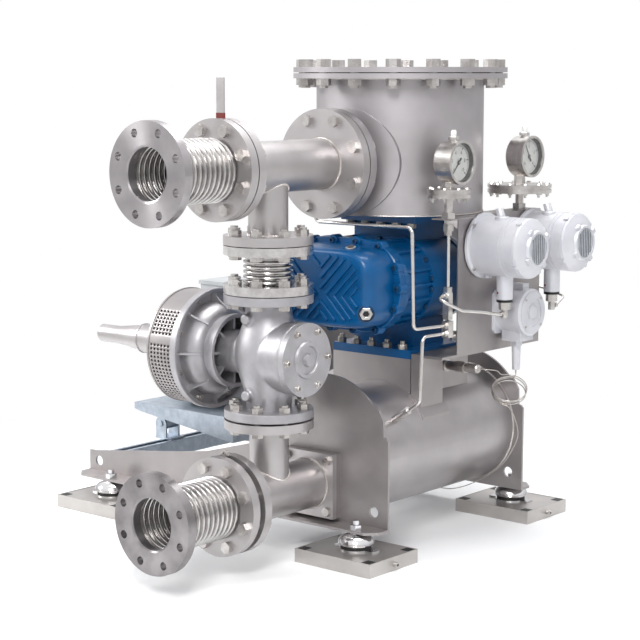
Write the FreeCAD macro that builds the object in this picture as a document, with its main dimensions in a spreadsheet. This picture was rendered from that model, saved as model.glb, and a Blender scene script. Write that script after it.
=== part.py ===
import FreeCAD, Part
import math
import os
import types
import Sketcher
from FreeCAD import Placement, Rotation, Vector

# Rotary lobe blower package for process gas, in millimetres, +Z up, standing on Z = 0.
#
# Gas comes in through the upper bellows, runs along the inlet tee into the upright inlet
# vessel, falls through the three-lobe blower into the lying discharge silencer and leaves
# by the lower bellows. A spring-loaded bypass valve joins the two lines. A hinged motor
# plate and V-belts drive the blower from behind. -Y is the side with the two pipe ends.

os.makedirs("parts", exist_ok=True)
doc = FreeCAD.newDocument("RotaryLobeBlower")

# Driving dimensions. Places are measured from the pipe axis, the two pipe end faces and the floor.
DRIVING = {
    # pipe lines of nominal bore 100 with drilled flanges
    "inlet_height": 888, "outlet_height": 157,
    "flange_od": 220, "flange_pcd": 180, "flange_hole": 18, "inner_hole": 18.5, "flange_thick": 22,
    "pipe_od": 114.3, "pipe_wall": 3.6, "raised_face": 158, "face_lip": 2,
    "bellows_od": 140, "bellows_bore": 112, "bellows_wall": 1.5, "bellows_length": 175,
    "bellows_waves": 10, "line_gasket": 3, "check_thick": 16,
    # bypass line of nominal bore 80
    "bypass_y": 370, "small_od": 200, "small_pcd": 160, "small_thick": 20, "small_pipe_od": 88.9,
    "small_gasket": 2, "small_bellows_od": 112, "small_bellows_bore": 86,
    "small_bellows_length": 66, "small_bellows_waves": 4,
    "bypass_top": 740, "valve_height": 277, "bypass_foot_gap": 4,
    # flange pair between inlet tee and vessel
    "nozzle_flange_od": 250, "nozzle_flange_pcd": 210, "nozzle_flange_y": 550, "nozzle_pipe_od": 139.7,
    # inlet vessel
    "vessel_y": 842, "vessel_od": 398, "vessel_wall": 4, "vessel_bottom": 766, "vessel_floor": 10,
    "vessel_flange_od": 508, "vessel_flange_thick": 12, "vessel_flange_top": 1092,
    "vessel_pcd": 466, "vessel_hole": 22, "vessel_outlet": 110,
    # blower
    "blower_height": 607, "rotor_centres": 120, "rotor_clearance": 0.25, "casing_clearance": 0.6,
    "rotor_end_clearance": 0.5, "cover_front": 545, "cover_back": 650, "casing_front": 780,
    "casing_back": 904, "drive_plate_back": 1000, "blower_half_width": 168, "blower_half_height": 108,
    "cover_wall": 10, "shaft_radius": 20, "running_clearance": 0.05, "bearing_radius": 36,
    "bearing_width": 22, "gear_width": 36, "gear_teeth": 30,
    "port_flange_thick": 20, "port_gasket": 2, "port_half_x": 112, "port_half_y": 84,
    "port_bore_x": 130, "port_bore_y": 100, "blower_foot": 430,
    # silencer and frame
    "silencer_x": 40, "silencer_z": 225, "silencer_radius": 146, "silencer_wall": 3,
    "front_plate_y": 530, "rear_plate_y": 1066, "plate_thick": 6, "plate_foot": 69,
    "plate_flange_reach": 62, "plate_left": -768, "plate_right": 213,
    "beam_height": 125, "neck_left": -110, "neck_right": 124, "neck_front": 727, "neck_back": 957,
    "neck_plate": 12, "neck_wall": 4, "post_depth": 30, "post_width": 84,
    # feet
    "tray_length": 215, "tray_width": 172, "tray_height": 31, "tray_sheet": 2.5,
    "mount_left": -644, "mount_right": 156, "mount_front": 488, "mount_rear": 1105,
    # motor and belt drive
    "rail_x": -700, "inner_rail_x": -425, "rail_width": 41, "motor_x": -592, "motor_shaft_height": 132,
    "motor_plate_left": -750, "motor_plate_right": -396, "motor_plate_front": 675,
    "motor_plate_back": 1044, "motor_plate_top": 232, "motor_plate_sheet": 6, "hinge_x": -724,
    "hinge_height": 166, "motor_radius": 126, "motor_front": 768, "motor_back": 1018,
    "cowl_front": 704, "motor_shaft_radius": 19, "blower_pulley_d": 150, "motor_pulley_d": 190,
    "pulley_y": 1092, "pulley_width": 56, "guard_front": 1076, "guard_back": 1162, "guard_sheet": 3,
    # instruments
    "panel_x": 215, "panel_left": 786, "panel_right": 1128, "panel_foot": 443, "panel_top": 765,
    "panel_sheet": 3, "panel_return": 52, "gauge_left_x": 232, "gauge_left_y": 724,
    "gauge_right_x": 190, "gauge_right_y": 1072, "gauge_height": 893, "seal_left_od": 100, "seal_right_od": 155,
    "transmitter_front_y": 884, "transmitter_rear_y": 1085, "transmitter_height": 692,
    "transmitter_od": 142, "transmitter_face": 372, "switch_y": 979, "switch_height": 530,
    "switch_od": 106, "tube_od": 8,
}


class Size:
    """A length that carries both its value and the sheet expression that gives it."""

    def __init__(self, value, text):
        self.value = float(value)
        self.text = text

    def join(self, other, sign, first=None):
        other = as_size(other)
        left, right = (self, other) if first is None else (other, self)
        results = {"+": left.value + right.value, "-": left.value - right.value,
                   "*": left.value * right.value}
        value = left.value / right.value if sign == "/" else results[sign]
        return Size(value, "(%s %s %s)" % (left.text, sign, right.text))

    def __add__(self, other):
        return self.join(other, "+")

    def __radd__(self, other):
        return self.join(other, "+", "other")

    def __sub__(self, other):
        return self.join(other, "-")

    def __rsub__(self, other):
        return self.join(other, "-", "other")

    def __mul__(self, other):
        return self.join(other, "*")

    def __rmul__(self, other):
        return self.join(other, "*", "other")

    def __truediv__(self, other):
        return self.join(other, "/")

    def __neg__(self):
        return Size(-self.value, "(0 - %s)" % self.text)


def as_size(value):
    return value if isinstance(value, Size) else Size(value, "%.10g" % value)


def make_sheet():
    """Put each driving dimension in a named cell and return them as Size values."""
    sheet = doc.addObject("Spreadsheet::Sheet", "Dims")
    found = types.SimpleNamespace()
    for row, (alias, value) in enumerate(DRIVING.items(), start=1):
        sheet.set("A%d" % row, alias)
        sheet.set("B%d" % row, str(value))
        sheet.setAlias("B%d" % row, alias)
    doc.recompute()
    for alias in DRIVING:
        setattr(found, alias, Size(getattr(sheet, alias), "Dims." + alias))
    return found


d = make_sheet()
middle_x = (d.transmitter_face + d.plate_left) / 2
middle_y = (d.mount_rear + d.tray_width / 2) / 2
TURNS = {"Z": Rotation(), "-Z": Rotation(Vector(1, 0, 0), 180),
         "Y": Rotation(Vector(1, 0, 0), -90), "-Y": Rotation(Vector(1, 0, 0), 90),
         "X": Rotation(Vector(0, 1, 0), 90), "-X": Rotation(Vector(0, 1, 0), -90)}
nodes = {}


def bind(thing, name, size):
    """Set a property from the sheet."""
    size = as_size(size)
    thing.setExpression(name, size.text)


def place(thing, at, axis="Z"):
    """Stand a piece at a point measured from the pipe axis, the pipe ends and the floor."""
    turn = axis if isinstance(axis, Rotation) else TURNS[axis]
    thing.Placement = Placement(Vector(0, 0, 0), turn)
    shifted = (as_size(at[0]) - middle_x, as_size(at[1]) - middle_y, as_size(at[2]))
    for name, size in zip("xyz", shifted):
        bind(thing, "Placement.Base." + name, size)
    return thing


def point(x, y, z):
    """A point of the package as a vector in the model's own frame."""
    return Vector(as_size(x).value - middle_x.value, as_size(y).value - middle_y.value,
                  as_size(z).value)


def keep(label, thing):
    """Name a sub-part; its label is the name of its file."""
    thing.Label = label
    nodes[label] = thing
    return thing


def box(size, at):
    made = doc.addObject("Part::Box", "box")
    for name, length in zip(("Length", "Width", "Height"), size):
        bind(made, name, length)
    return place(made, at)


def rod(radius, length, at, axis="Z"):
    made = doc.addObject("Part::Cylinder", "rod")
    bind(made, "Radius", radius)
    bind(made, "Height", length)
    return place(made, at, axis)


def cone(radius_a, radius_b, length, at, axis="Z"):
    made = doc.addObject("Part::Cone", "cone")
    bind(made, "Radius1", radius_a)
    bind(made, "Radius2", radius_b)
    bind(made, "Height", length)
    return place(made, at, axis)


def ball(radius, at):
    made = doc.addObject("Part::Sphere", "ball")
    bind(made, "Radius", radius)
    return place(made, at)


def hexagon(across, length, at, axis="Z"):
    """A six-sided bar, by its width across the flats."""
    made = doc.addObject("Part::Prism", "hexagon")
    made.Polygon = 6
    bind(made, "Circumradius", as_size(across) / math.sqrt(3))
    bind(made, "Height", length)
    return place(made, at, axis)


def fuse(pieces):
    made = doc.addObject("Part::MultiFuse", "joined")
    made.Shapes = pieces
    made.Refine = True
    return made


def cut(base, tools):
    made = doc.addObject("Part::Cut", "cut")
    made.Base = base
    made.Tool = tools[0] if len(tools) == 1 else fuse(tools)
    made.Refine = True
    return made


def common(base, tool):
    made = doc.addObject("Part::Common", "shared")
    made.Base = base
    made.Tool = tool
    return made


def group(pieces):
    """Separate solids that share one node."""
    made = doc.addObject("Part::Compound", "group")
    made.Links = pieces
    return made


def from_shape(shape):
    made = doc.addObject("Part::Feature", "shaped")
    made.Shape = shape
    return made


def sketch_on(body, role):
    doc.recompute()
    plane = [part for part in body.Origin.OriginFeatures if part.Role == role][0]
    sketch = body.newObject("Sketcher::SketchObject", "sketch")
    sketch.AttachmentSupport = [(plane, "")]
    sketch.MapMode = "FlatFace"
    return sketch


def hold(sketch, kind, geometry, corner, size):
    """Hold a sketch point at a distance from the sketch's origin."""
    size = as_size(size)
    number = sketch.addConstraint(Sketcher.Constraint(kind, -1, 1, geometry, corner, size.value))
    sketch.setExpression("Constraints[%d]" % number, size.text)


def draw_outline(sketch, corners):
    """Close a line through corners (x, y); a corner (x, y, radius) starts an arc of that radius.

    The arc bulges to the right of the way from its corner to the next, so an outline
    that runs anticlockwise bulges outwards.
    """
    first = sketch.GeometryCount
    count = len(corners)
    for index, corner in enumerate(corners):
        after = corners[(index + 1) % count]
        start = Vector(as_size(corner[0]).value, as_size(corner[1]).value, 0)
        end = Vector(as_size(after[0]).value, as_size(after[1]).value, 0)
        if len(corner) == 2:
            sketch.addGeometry(Part.LineSegment(start, end), False)
            continue
        radius = as_size(corner[2]).value
        chord = end - start
        side = Vector(chord.y, -chord.x, 0).normalize()
        rise = radius - math.sqrt(max(radius ** 2 - chord.Length ** 2 / 4, 0))
        sketch.addGeometry(Part.Arc(start, (start + end) / 2 + side * rise, end), False)
    for index, corner in enumerate(corners):
        mine = first + index
        after = first + (index + 1) % count
        hold(sketch, "DistanceX", mine, 1, corner[0])
        hold(sketch, "DistanceY", mine, 1, corner[1])
        sketch.addConstraint(Sketcher.Constraint("Coincident", mine, 2, after, 1))
        if len(corner) == 3:
            size = as_size(corner[2])
            number = sketch.addConstraint(Sketcher.Constraint("Radius", mine, size.value))
            sketch.setExpression("Constraints[%d]" % number, size.text)
    return sketch


def draw_circle(sketch, diameter, x, y):
    number = sketch.GeometryCount
    x, y, diameter = as_size(x), as_size(y), as_size(diameter)
    circle = Part.Circle(Vector(x.value, y.value, 0), Vector(0, 0, 1), diameter.value / 2)
    sketch.addGeometry(circle, False)
    fixed = sketch.addConstraint(Sketcher.Constraint("Diameter", number, diameter.value))
    sketch.setExpression("Constraints[%d]" % fixed, diameter.text)
    hold(sketch, "DistanceX", number, 3, x)
    hold(sketch, "DistanceY", number, 3, y)
    return sketch


def pad(body, sketch, length, flip=False, taper=0):
    made = body.newObject("PartDesign::Pad", "pad")
    made.Profile = sketch
    bind(made, "Length", length)
    made.Reversed = flip
    made.TaperAngle = taper
    doc.recompute()
    return made


def pocket(body, sketch, length=None, flip=False):
    made = body.newObject("PartDesign::Pocket", "pocket")
    made.Profile = sketch
    if length is None:
        made.Type = "ThroughAll"
    else:
        bind(made, "Length", length)
    made.Reversed = flip
    doc.recompute()
    return made


def revolve(body, sketch):
    made = body.newObject("PartDesign::Revolution", "turned")
    made.Profile = sketch
    made.ReferenceAxis = (sketch, ["V_Axis"])
    made.Angle = 360
    doc.recompute()
    return made


def polar_holes(body, count, circle, diameter):
    """Drill holes along the body's own Z on a bolt circle, the first half a step off its X axis."""
    half_step = math.radians(180 / count)
    sketch = sketch_on(body, "XY_Plane")
    draw_circle(sketch, diameter, as_size(circle) / 2 * math.cos(half_step),
                as_size(circle) / 2 * math.sin(half_step))
    doc.recompute()
    hole = pocket(body, sketch, flip=True)
    ring = body.newObject("PartDesign::PolarPattern", "ring")
    ring.Originals = [hole]
    ring.Axis = (sketch, ["N_Axis"])
    ring.Angle = 360
    ring.Occurrences = count
    body.Tip = ring
    doc.recompute()
    return ring


def turned(profile, at, axis="Z", holes=()):
    """Revolve a half section of (radius, height along the axis) corners, then drill it."""
    body = doc.addObject("PartDesign::Body", "turned_body")
    sketch = draw_outline(sketch_on(body, "XZ_Plane"), profile)
    revolve(body, sketch)
    for count, circle, diameter in holes:
        polar_holes(body, count, circle, diameter)
    return place(body, at, axis)


def plate(role, corners, thick, at, holes=(), flip=False):
    """Pad an outline drawn on one of the body's planes, with round holes (diameter, x, y)."""
    body = doc.addObject("PartDesign::Body", "plate_body")
    sketch = draw_outline(sketch_on(body, role), corners)
    for diameter, x, y in holes:
        draw_circle(sketch, diameter, x, y)
    pad(body, sketch, thick, flip)
    return place(body, at)


def flange(outer, bore, thick, circle, hole, at, axis, count=8):
    """A drilled pipe flange that grows along its axis from at."""
    outer, bore = as_size(outer), as_size(bore)
    profile = [(bore / 2, 0), (outer / 2, 0), (outer / 2, thick), (bore / 2, thick)]
    return turned(profile, at, axis, [(count, circle, hole)])


def tube(outer, bore, length, at, axis="Z"):
    outer, bore = as_size(outer), as_size(bore)
    return turned([(bore / 2, 0), (outer / 2, 0), (outer / 2, length), (bore / 2, length)], at, axis)


def bellows(outer, bore, wall, length, waves, at, axis):
    """A thin wall folded into rounded waves: each wave is a crest and a root."""
    body = doc.addObject("PartDesign::Body", "bellows_body")
    outer, bore, wall, length = as_size(outer), as_size(bore), as_size(wall), as_size(length)
    count = int(round(as_size(waves).value))
    pitch = length / count
    outside = [(bore / 2 + wall, 0)]
    inside = [(bore / 2, 0)]
    for wave in range(count):
        outside += [(bore / 2 + wall, pitch * (wave + 0.2)), (outer / 2, pitch * (wave + 0.35)),
                    (outer / 2, pitch * (wave + 0.65)), (bore / 2 + wall, pitch * (wave + 0.8))]
        inside += [(bore / 2, pitch * (wave + 0.2)), (outer / 2 - wall, pitch * (wave + 0.35)),
                   (outer / 2 - wall, pitch * (wave + 0.65)), (bore / 2, pitch * (wave + 0.8))]
    outside.append((bore / 2 + wall, length))
    inside.append((bore / 2, length))
    sketch = draw_outline(sketch_on(body, "XZ_Plane"), outside + inside[::-1])
    revolve(body, sketch)
    return place(body, at, axis)


def bolt_shape(diameter, grip, across, head, nut):
    """A hexagon bolt and nut along +Z; the head's seat is at 0 and the nut's at the grip."""
    reach = grip + nut + 0.3 * diameter
    shank = prism_shape(diameter, 8, 0, reach)
    return shank.fuse([prism_shape(across, 6, -head, head), prism_shape(across, 6, grip, nut)])


def prism_shape(across, sides, start, length):
    """A prism of many flat sides along +Z, by its width across the flats."""
    radius = across / 2 / math.cos(math.pi / sides)
    turns = [2 * math.pi * (step + 0.5) / sides for step in range(sides + 1)]
    wire = Part.makePolygon([Vector(radius * math.cos(t), radius * math.sin(t), start) for t in turns])
    return Part.Face(wire).extrude(Vector(0, 0, length))


def ring_of(shape, count, circle, at, axis, first=0.5):
    """Copies of a shape on a bolt circle about an axis."""
    copies = []
    for step in range(count):
        copy = shape.copy()
        copy.translate(Vector(circle / 2, 0, 0))
        copy.rotate(Vector(0, 0, 0), Vector(0, 0, 1), 360 * (step + first) / count)
        copy.Placement = Placement(at, TURNS[axis]).multiply(copy.Placement)
        copies.append(copy)
    return copies


def racetrack(half_width, half_height):
    """A lying oval: flat top and bottom, and two quarter circles at each end."""
    w, t = as_size(half_width), as_size(half_height)
    return [(t - w, -t), (w - t, -t, t), (w, 0, t), (w - t, t), (t - w, t, t), (-w, 0, t)]


def eight_sided(half_width, half_height, corner):
    """A rectangle with its four corners cut off."""
    w, t, c = as_size(half_width), as_size(half_height), as_size(corner)
    return [(c - w, -t), (w - c, -t), (w, c - t), (w, t - c), (w - c, t), (c - w, t),
            (-w, t - c), (-w, c - t)]


def rectangle(left, bottom, right, top):
    return [(left, bottom), (right, bottom), (right, top), (left, top)]


# Places along the pipe lines, counted from the end faces at Y = 0.
line_inner = d.flange_thick + d.bellows_length
line_seat = line_inner + d.flange_thick
inlet_tee_face = line_seat + d.line_gasket
outlet_tee_face = line_seat + d.check_thick
nozzle_y = d.nozzle_flange_y + d.flange_thick + d.line_gasket
pipe_bore = d.pipe_od - 2 * d.pipe_wall
small_bore = d.small_pipe_od - 2 * d.pipe_wall
bypass_upper = d.bypass_top - d.small_thick - d.small_gasket
bypass_lower = bypass_upper - 2 * d.small_thick - d.small_bellows_length
valve_top = bypass_lower - d.small_gasket
valve_bottom = valve_top - d.valve_height
bypass_foot = valve_bottom - d.bypass_foot_gap
valve_z = valve_bottom + d.valve_height / 2


def make_line_end(name, height):
    """The outer flange of a bellows: the package's connection to the plant."""
    profile = [(d.bellows_bore / 2, d.face_lip), (d.bellows_bore / 2 + 4, 0), (d.flange_od / 2, 0),
               (d.flange_od / 2, d.flange_thick), (d.bellows_bore / 2, d.flange_thick)]
    keep(name, turned(profile, (0, 0, height), "Y", [(8, d.flange_pcd, d.flange_hole)]))


def make_line_bellows(name, height):
    keep(name, bellows(d.bellows_od, d.bellows_bore, d.bellows_wall, d.bellows_length,
                       d.bellows_waves, (0, d.flange_thick, height), "Y"))


def make_inner_flanges():
    """The flanges at the package's end of the two bellows."""
    keep("bellows_inner_flanges", group([
        flange(d.flange_od, d.bellows_bore, d.flange_thick, d.flange_pcd, d.inner_hole,
               (0, line_inner, height), "Y") for height in (d.inlet_height, d.outlet_height)]))


def make_strainer():
    """Start-up strainer: a flat ring with a handle tab, and a mesh cone that points downstream."""
    ring = tube(d.raised_face, pipe_bore - 12, d.line_gasket, (0, line_seat, d.inlet_height), "Y")
    tab = box((22, d.line_gasket, 120), (-11, line_seat, d.inlet_height + d.raised_face / 2 - 4))
    slant = d.line_gasket + 110
    hat = turned([(pipe_bore / 2 - 6, 0), (pipe_bore / 2 - 4, 0), (pipe_bore / 2 - 4, d.line_gasket),
                  (14, slant), (0, slant), (0, slant - 2), (12, slant - 2)],
                 (0, line_seat, d.inlet_height), "Y")
    keep("inlet_strainer", fuse([ring, tab, hat]))


def make_inlet_tee():
    """Flanged inlet pipe with the bypass branch that hangs from it."""
    centre = (0, inlet_tee_face, d.inlet_height)
    run = d.nozzle_flange_y + d.flange_thick - inlet_tee_face
    drop = d.inlet_height - d.bypass_top
    solid = fuse([rod(d.pipe_od / 2, run, centre, "Y"),
                  rod(d.small_pipe_od / 2, drop, (0, d.bypass_y, d.bypass_top))])
    bored = cut(solid, [rod(pipe_bore / 2, run, centre, "Y"),
                        rod(small_bore / 2, drop, (0, d.bypass_y, d.bypass_top))])
    ends = [flange(d.flange_od, d.pipe_od, d.flange_thick, d.flange_pcd, d.inner_hole, centre, "Y"),
            flange(d.nozzle_flange_od, d.pipe_od, d.flange_thick, d.nozzle_flange_pcd, d.flange_hole,
                   (0, d.nozzle_flange_y, d.inlet_height), "Y"),
            flange(d.small_od, d.small_pipe_od, d.small_thick, d.small_pcd, d.flange_hole,
                   (0, d.bypass_y, d.bypass_top - d.small_thick), "Z")]
    stub = tube(d.small_pipe_od, small_bore, d.small_thick, (0, d.bypass_y, d.bypass_top - d.small_thick))
    keep("inlet_tee", fuse([bored, stub] + ends))


def make_bypass_bellows():
    """Short expansion joint with its two welded flanges."""
    low = bypass_lower
    ends = [flange(d.small_od, d.small_bellows_bore, d.small_thick, d.small_pcd, d.flange_hole,
                   (0, d.bypass_y, height), "Z")
            for height in (low, low + d.small_thick + d.small_bellows_length)]
    folds = bellows(d.small_bellows_od, d.small_bellows_bore, d.bellows_wall, d.small_bellows_length,
                    d.small_bellows_waves, (0, d.bypass_y, low + d.small_thick), "Z")
    keep("bypass_bellows", fuse(ends + [folds]))


def make_vessel():
    """Upright inlet vessel: shell, floor with the outlet to the blower, nozzle and top flange."""
    centre = (0, d.vessel_y, d.vessel_bottom)
    inside = d.vessel_od / 2 - d.vessel_wall
    rim = d.vessel_flange_od / 2
    flange_low = d.vessel_flange_top - d.vessel_flange_thick - d.vessel_bottom
    top = d.vessel_flange_top - d.vessel_bottom
    shell = turned([(d.vessel_outlet / 2, 0), (d.vessel_od / 2, 0), (d.vessel_od / 2, flange_low),
                    (rim, flange_low), (rim, top), (inside, top), (inside, d.vessel_floor),
                    (d.vessel_outlet / 2, d.vessel_floor)], centre)
    cut_back = rod(inside, top + 20, (0, d.vessel_y, d.vessel_bottom + 5))
    reach = d.vessel_y - nozzle_y
    neck = cut(rod(d.nozzle_pipe_od / 2, reach, (0, nozzle_y, d.inlet_height), "Y"), [cut_back])
    pad_ring = cut(common(rod(d.nozzle_flange_od / 2, reach, (0, nozzle_y, d.inlet_height), "Y"),
                          rod(d.vessel_od / 2 + 6, top, centre)), [cut_back])
    bolted = flange(d.nozzle_flange_od, d.nozzle_pipe_od, d.flange_thick, d.nozzle_flange_pcd,
                    d.flange_hole, (0, nozzle_y, d.inlet_height), "Y")
    bore = rod(d.nozzle_pipe_od / 2 - d.pipe_wall, reach, (0, nozzle_y, d.inlet_height), "Y")
    body = cut(fuse([shell, neck, pad_ring, bolted]), [bore])
    drill = from_ring(rod_shape(d.vessel_hole.value / 2, 200), 16, d.vessel_pcd,
                      (0, d.vessel_y, d.vessel_flange_top - 100))
    keep("inlet_vessel", cut(body, [drill]))
    lid = rod(rim, d.vessel_flange_thick, (0, d.vessel_y, d.vessel_flange_top + d.port_gasket))
    drill = from_ring(rod_shape(d.vessel_hole.value / 2, 200), 16, d.vessel_pcd,
                      (0, d.vessel_y, d.vessel_flange_top - 100))
    keep("vessel_lid", cut(lid, [drill]))
    keep("lid_gasket", tube(d.vessel_pcd - d.vessel_hole - 2, 2 * inside, d.port_gasket,
                            (0, d.vessel_y, d.vessel_flange_top)))


def rod_shape(radius, length):
    return Part.makeCylinder(radius, length)


def from_ring(shape, count, circle, at, axis="Z"):
    """One tool made of copies on a bolt circle."""
    return from_shape(Part.makeCompound(ring_of(shape, count, as_size(circle).value,
                                                point(*at), axis)))


def make_discharge_tee():
    """Discharge pipe from the front plate, with the bypass branch and the line flange."""
    start = (0, outlet_tee_face, d.outlet_height)
    run = d.front_plate_y - 14 - outlet_tee_face
    rise = bypass_foot - d.outlet_height
    solid = fuse([rod(d.pipe_od / 2, run, start, "Y"),
                  rod(d.small_pipe_od / 2, rise, (0, d.bypass_y, d.outlet_height))])
    bored = cut(solid, [rod(pipe_bore / 2, run, start, "Y"),
                        rod(small_bore / 2, rise, (0, d.bypass_y, d.outlet_height))])
    square = plate("XZ_Plane", rectangle(-75, -75, 75, 75), 14,
                   (0, d.front_plate_y - 28, d.outlet_height),
                   [(pipe_bore, 0, 0)] + [(13, x, z) for x in (-59, 59) for z in (-59, 59)], True)
    ends = [flange(d.flange_od, d.pipe_od, d.flange_thick, d.flange_pcd, d.inner_hole, start, "Y"),
            flange(d.small_od, d.small_pipe_od, d.small_thick, d.small_pcd, d.flange_hole,
                   (0, d.bypass_y, bypass_foot - d.small_thick), "Z")]
    keep("discharge_tee", fuse([bored, square] + ends))


def make_check_valve():
    """Wafer check valve between the lower flanges: a seat ring and a swinging flap."""
    face = outlet_tee_face - d.check_thick
    body = turned([(50, 0), (d.raised_face / 2, 0), (d.raised_face / 2, d.check_thick),
                   (35, d.check_thick), (35, d.check_thick - 6), (50, d.check_thick - 6)],
                  (0, face, d.outlet_height), "Y")
    eye = turned([(6, -3), (11, -3), (11, 3), (6, 3)], (0, face + 8, d.outlet_height + 112), "Y")
    stem = rod(4, 26, (0, face + 8, d.outlet_height + d.raised_face / 2 - 2))
    pin_hole = rod(2.5 + d.running_clearance, 108, (-54, face + 4.5, d.outlet_height + 44), "X")
    keep("check_valve_body", cut(fuse([body, eye, stem]), [pin_hole]))
    disc = rod(40, 5, (0, face + 4.7, d.outlet_height), "Y")
    ear = box((20, 5, 14), (-10, face + 2, d.outlet_height + 34))
    pin = rod(2.5, 104, (-52, face + 4.5, d.outlet_height + 44), "X")
    keep("check_valve_flap", fuse([disc, ear, pin]))


make_line_end("inlet_end_flange", d.inlet_height)
make_line_end("outlet_end_flange", d.outlet_height)
make_line_bellows("inlet_bellows", d.inlet_height)
make_line_bellows("outlet_bellows", d.outlet_height)
make_inner_flanges()
make_strainer()
make_inlet_tee()
make_bypass_bellows()
make_vessel()
make_discharge_tee()
make_check_valve()


# The bypass valve lies along X: cover at the right, bonnet, spring and spindle to the left.
valve_centre = (0, d.bypass_y, valve_z)
cover_seat = 98
bonnet_seat = -96
ring_face = -205
ring_back = -222
guard_end = -262
spindle_end = -549
seat_face = -6


def along(x, dz=0):
    """A point on the valve's axis."""
    return (x, d.bypass_y, valve_z + dz)


def make_valve_body():
    """Globe body with two line flanges, a cover opening and a neck for the bonnet."""
    height = d.valve_height
    belly = fuse([ball(78, valve_centre), rod(52, height, (0, d.bypass_y, valve_bottom)),
                  rod(68, cover_seat - 16, along(0), "X"), rod(81.5, 16, along(cover_seat - 16), "X"),
                  rod(68, -bonnet_seat - 14, along(bonnet_seat + 14), "X"),
                  rod(82.5, 14, along(bonnet_seat), "X"),
                  rod(12, 14, (0, d.bypass_y - 84, valve_z + 56), "Y"),
                  rod(12, 14, (0, d.bypass_y - 84, valve_z - 56), "Y"),
                  box((10, 30, 30), (-5, d.bypass_y - 80, valve_z + 40)),
                  box((10, 30, 30), (-5, d.bypass_y - 80, valve_z - 70))])
    hollow = fuse([rod(60, cover_seat - bonnet_seat, along(bonnet_seat), "X"),
                   rod(small_bore / 2, height, (0, d.bypass_y, valve_bottom))])
    shell = cut(belly, [hollow])
    wall = fuse([tube(121, 80, 6, along(seat_face), "X"),
                 box((44, 84, 6), (seat_face - 38, d.bypass_y - 42, valve_z + 54)),
                 box((44, 84, 6), (seat_face, d.bypass_y - 42, valve_z - 60))])
    partition = common(wall, rod(60.5, 90, along(-45), "X"))
    ends = [flange(d.small_od, small_bore, d.small_thick, d.small_pcd, d.flange_hole,
                   (0, d.bypass_y, height_at), "Z")
            for height_at in (valve_bottom, valve_top - d.small_thick)]
    keep("valve_body", fuse([shell, partition] + ends))


def make_valve_cover():
    """Blind cover on the valve's right side, with a raised ring and a centre boss."""
    profile = [(0, 0), (81.5, 0), (81.5, 14), (42, 14), (40, 19), (32, 19), (30, 15), (15, 15),
               (13, 24), (0, 24)]
    keep("valve_cover", turned(profile, along(cover_seat + 0.5), "X"))


def make_valve_bonnet():
    """Ribbed cone between the valve body and the big ring that carries the spring guard."""
    depth = bonnet_seat - ring_back
    front = bonnet_seat - ring_face
    profile = [(10 + d.running_clearance, 0.5), (82.5, 0.5), (82.5, 13), (64, 13), (64, 40),
               (100, front - 6), (137.5, front), (137.5, depth), (118, depth), (118, front + 8),
               (94, front + 2), (57, 44), (56, 20), (10 + d.running_clearance, 12)]
    cast = turned(profile, along(bonnet_seat), "-X")
    corners = [(60.5, 8), (80, 8), (130, front + 4), (104, front + 4), (60.5, 42), (60.5, 8)]
    rib = Part.Face(Part.makePolygon([Vector(radius, -3, height) for radius, height in corners]))
    rib = rib.extrude(Vector(0, 6, 0))
    ribs = from_shape(Part.makeCompound(ring_of(rib, 8, 0, point(*along(bonnet_seat)), "-X")))
    keep("valve_bonnet", fuse([cast, ribs]))


def make_spring_guard():
    """Sheet sleeve with rows of openings round the valve spring, closed by a back plate."""
    length = ring_back - guard_end
    sleeve = turned([(129, 0.3), (131, 0.3), (131, length), (34.3, length), (34.3, length - 3),
                     (129, length - 3)], along(ring_back), "-X")
    slot = Part.makeBox(8, 12, 9, Vector(126, -6, 0))
    rows = []
    for height in (6, 21):
        row = slot.copy()
        row.translate(Vector(0, 0, height))
        rows += ring_of(row, 24, 0, point(*along(ring_back)), "-X")
    keep("spring_guard", cut(sleeve, [from_shape(Part.makeCompound(rows))]))


def make_spindle_tube():
    """Closed housing of the spindle, with a cone down to the thin end tube."""
    base = guard_end + 3
    keep("spindle_tube", turned([(26, 0), (50, 0), (50, 3.4), (34, 3.4), (34, 136), (18.5, 154),
                                 (18.5, base - spindle_end - 2), (15, base - spindle_end),
                                 (0, base - spindle_end), (0, base - spindle_end - 8),
                                 (12, base - spindle_end - 8), (12, 150), (26, 132)],
                                along(base + 3.4), "-X"))


def make_valve_spindle():
    """Closing disc, stem and spring seat in one, pushed to the right by the spring."""
    disc = turned([(0, 0.3), (46, 0.3), (46, 6), (30, 10), (10, 12), (10, 150), (42, 150), (42, 156),
                   (10, 156), (10, 500), (7, 503), (0, 503)], along(seat_face), "-X")
    keep("valve_spindle", disc)


def make_valve_spring():
    """Coil spring between the spindle's seat and the guard, as its outer shape with each turn."""
    start = seat_face - 156.4
    length = start - (guard_end + 7)
    keep("valve_spring", bellows(76, 54, 6, length, 6, along(start), "-X"))


make_valve_body()
make_valve_cover()
make_valve_bonnet()
make_spring_guard()
make_spindle_tube()
make_valve_spindle()
make_valve_spring()

# The blower: two shafts side by side, the gears at the front and the pulley at the back.
pitch_radius = d.rotor_centres / 2
tip_radius = pitch_radius * 4 / 3
drive_x = -pitch_radius
driven_x = pitch_radius
gear_front = d.cover_front + d.cover_wall + 20
shaft_front = d.cover_front + d.cover_wall + 6
front_bearing = d.cover_back + 6
rear_bearing = d.drive_plate_back - d.bearing_width


def oval(half_width, half_height, thick, y):
    """A lying racetrack plate across the blower, from y backwards."""
    return plate("XZ_Plane", racetrack(half_width, half_height), thick, (0, y, d.blower_height),
                 (), True)


def bearing_places():
    return [(x, y, d.blower_height) for x in (drive_x, driven_x) for y in (front_bearing, rear_bearing)]


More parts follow.
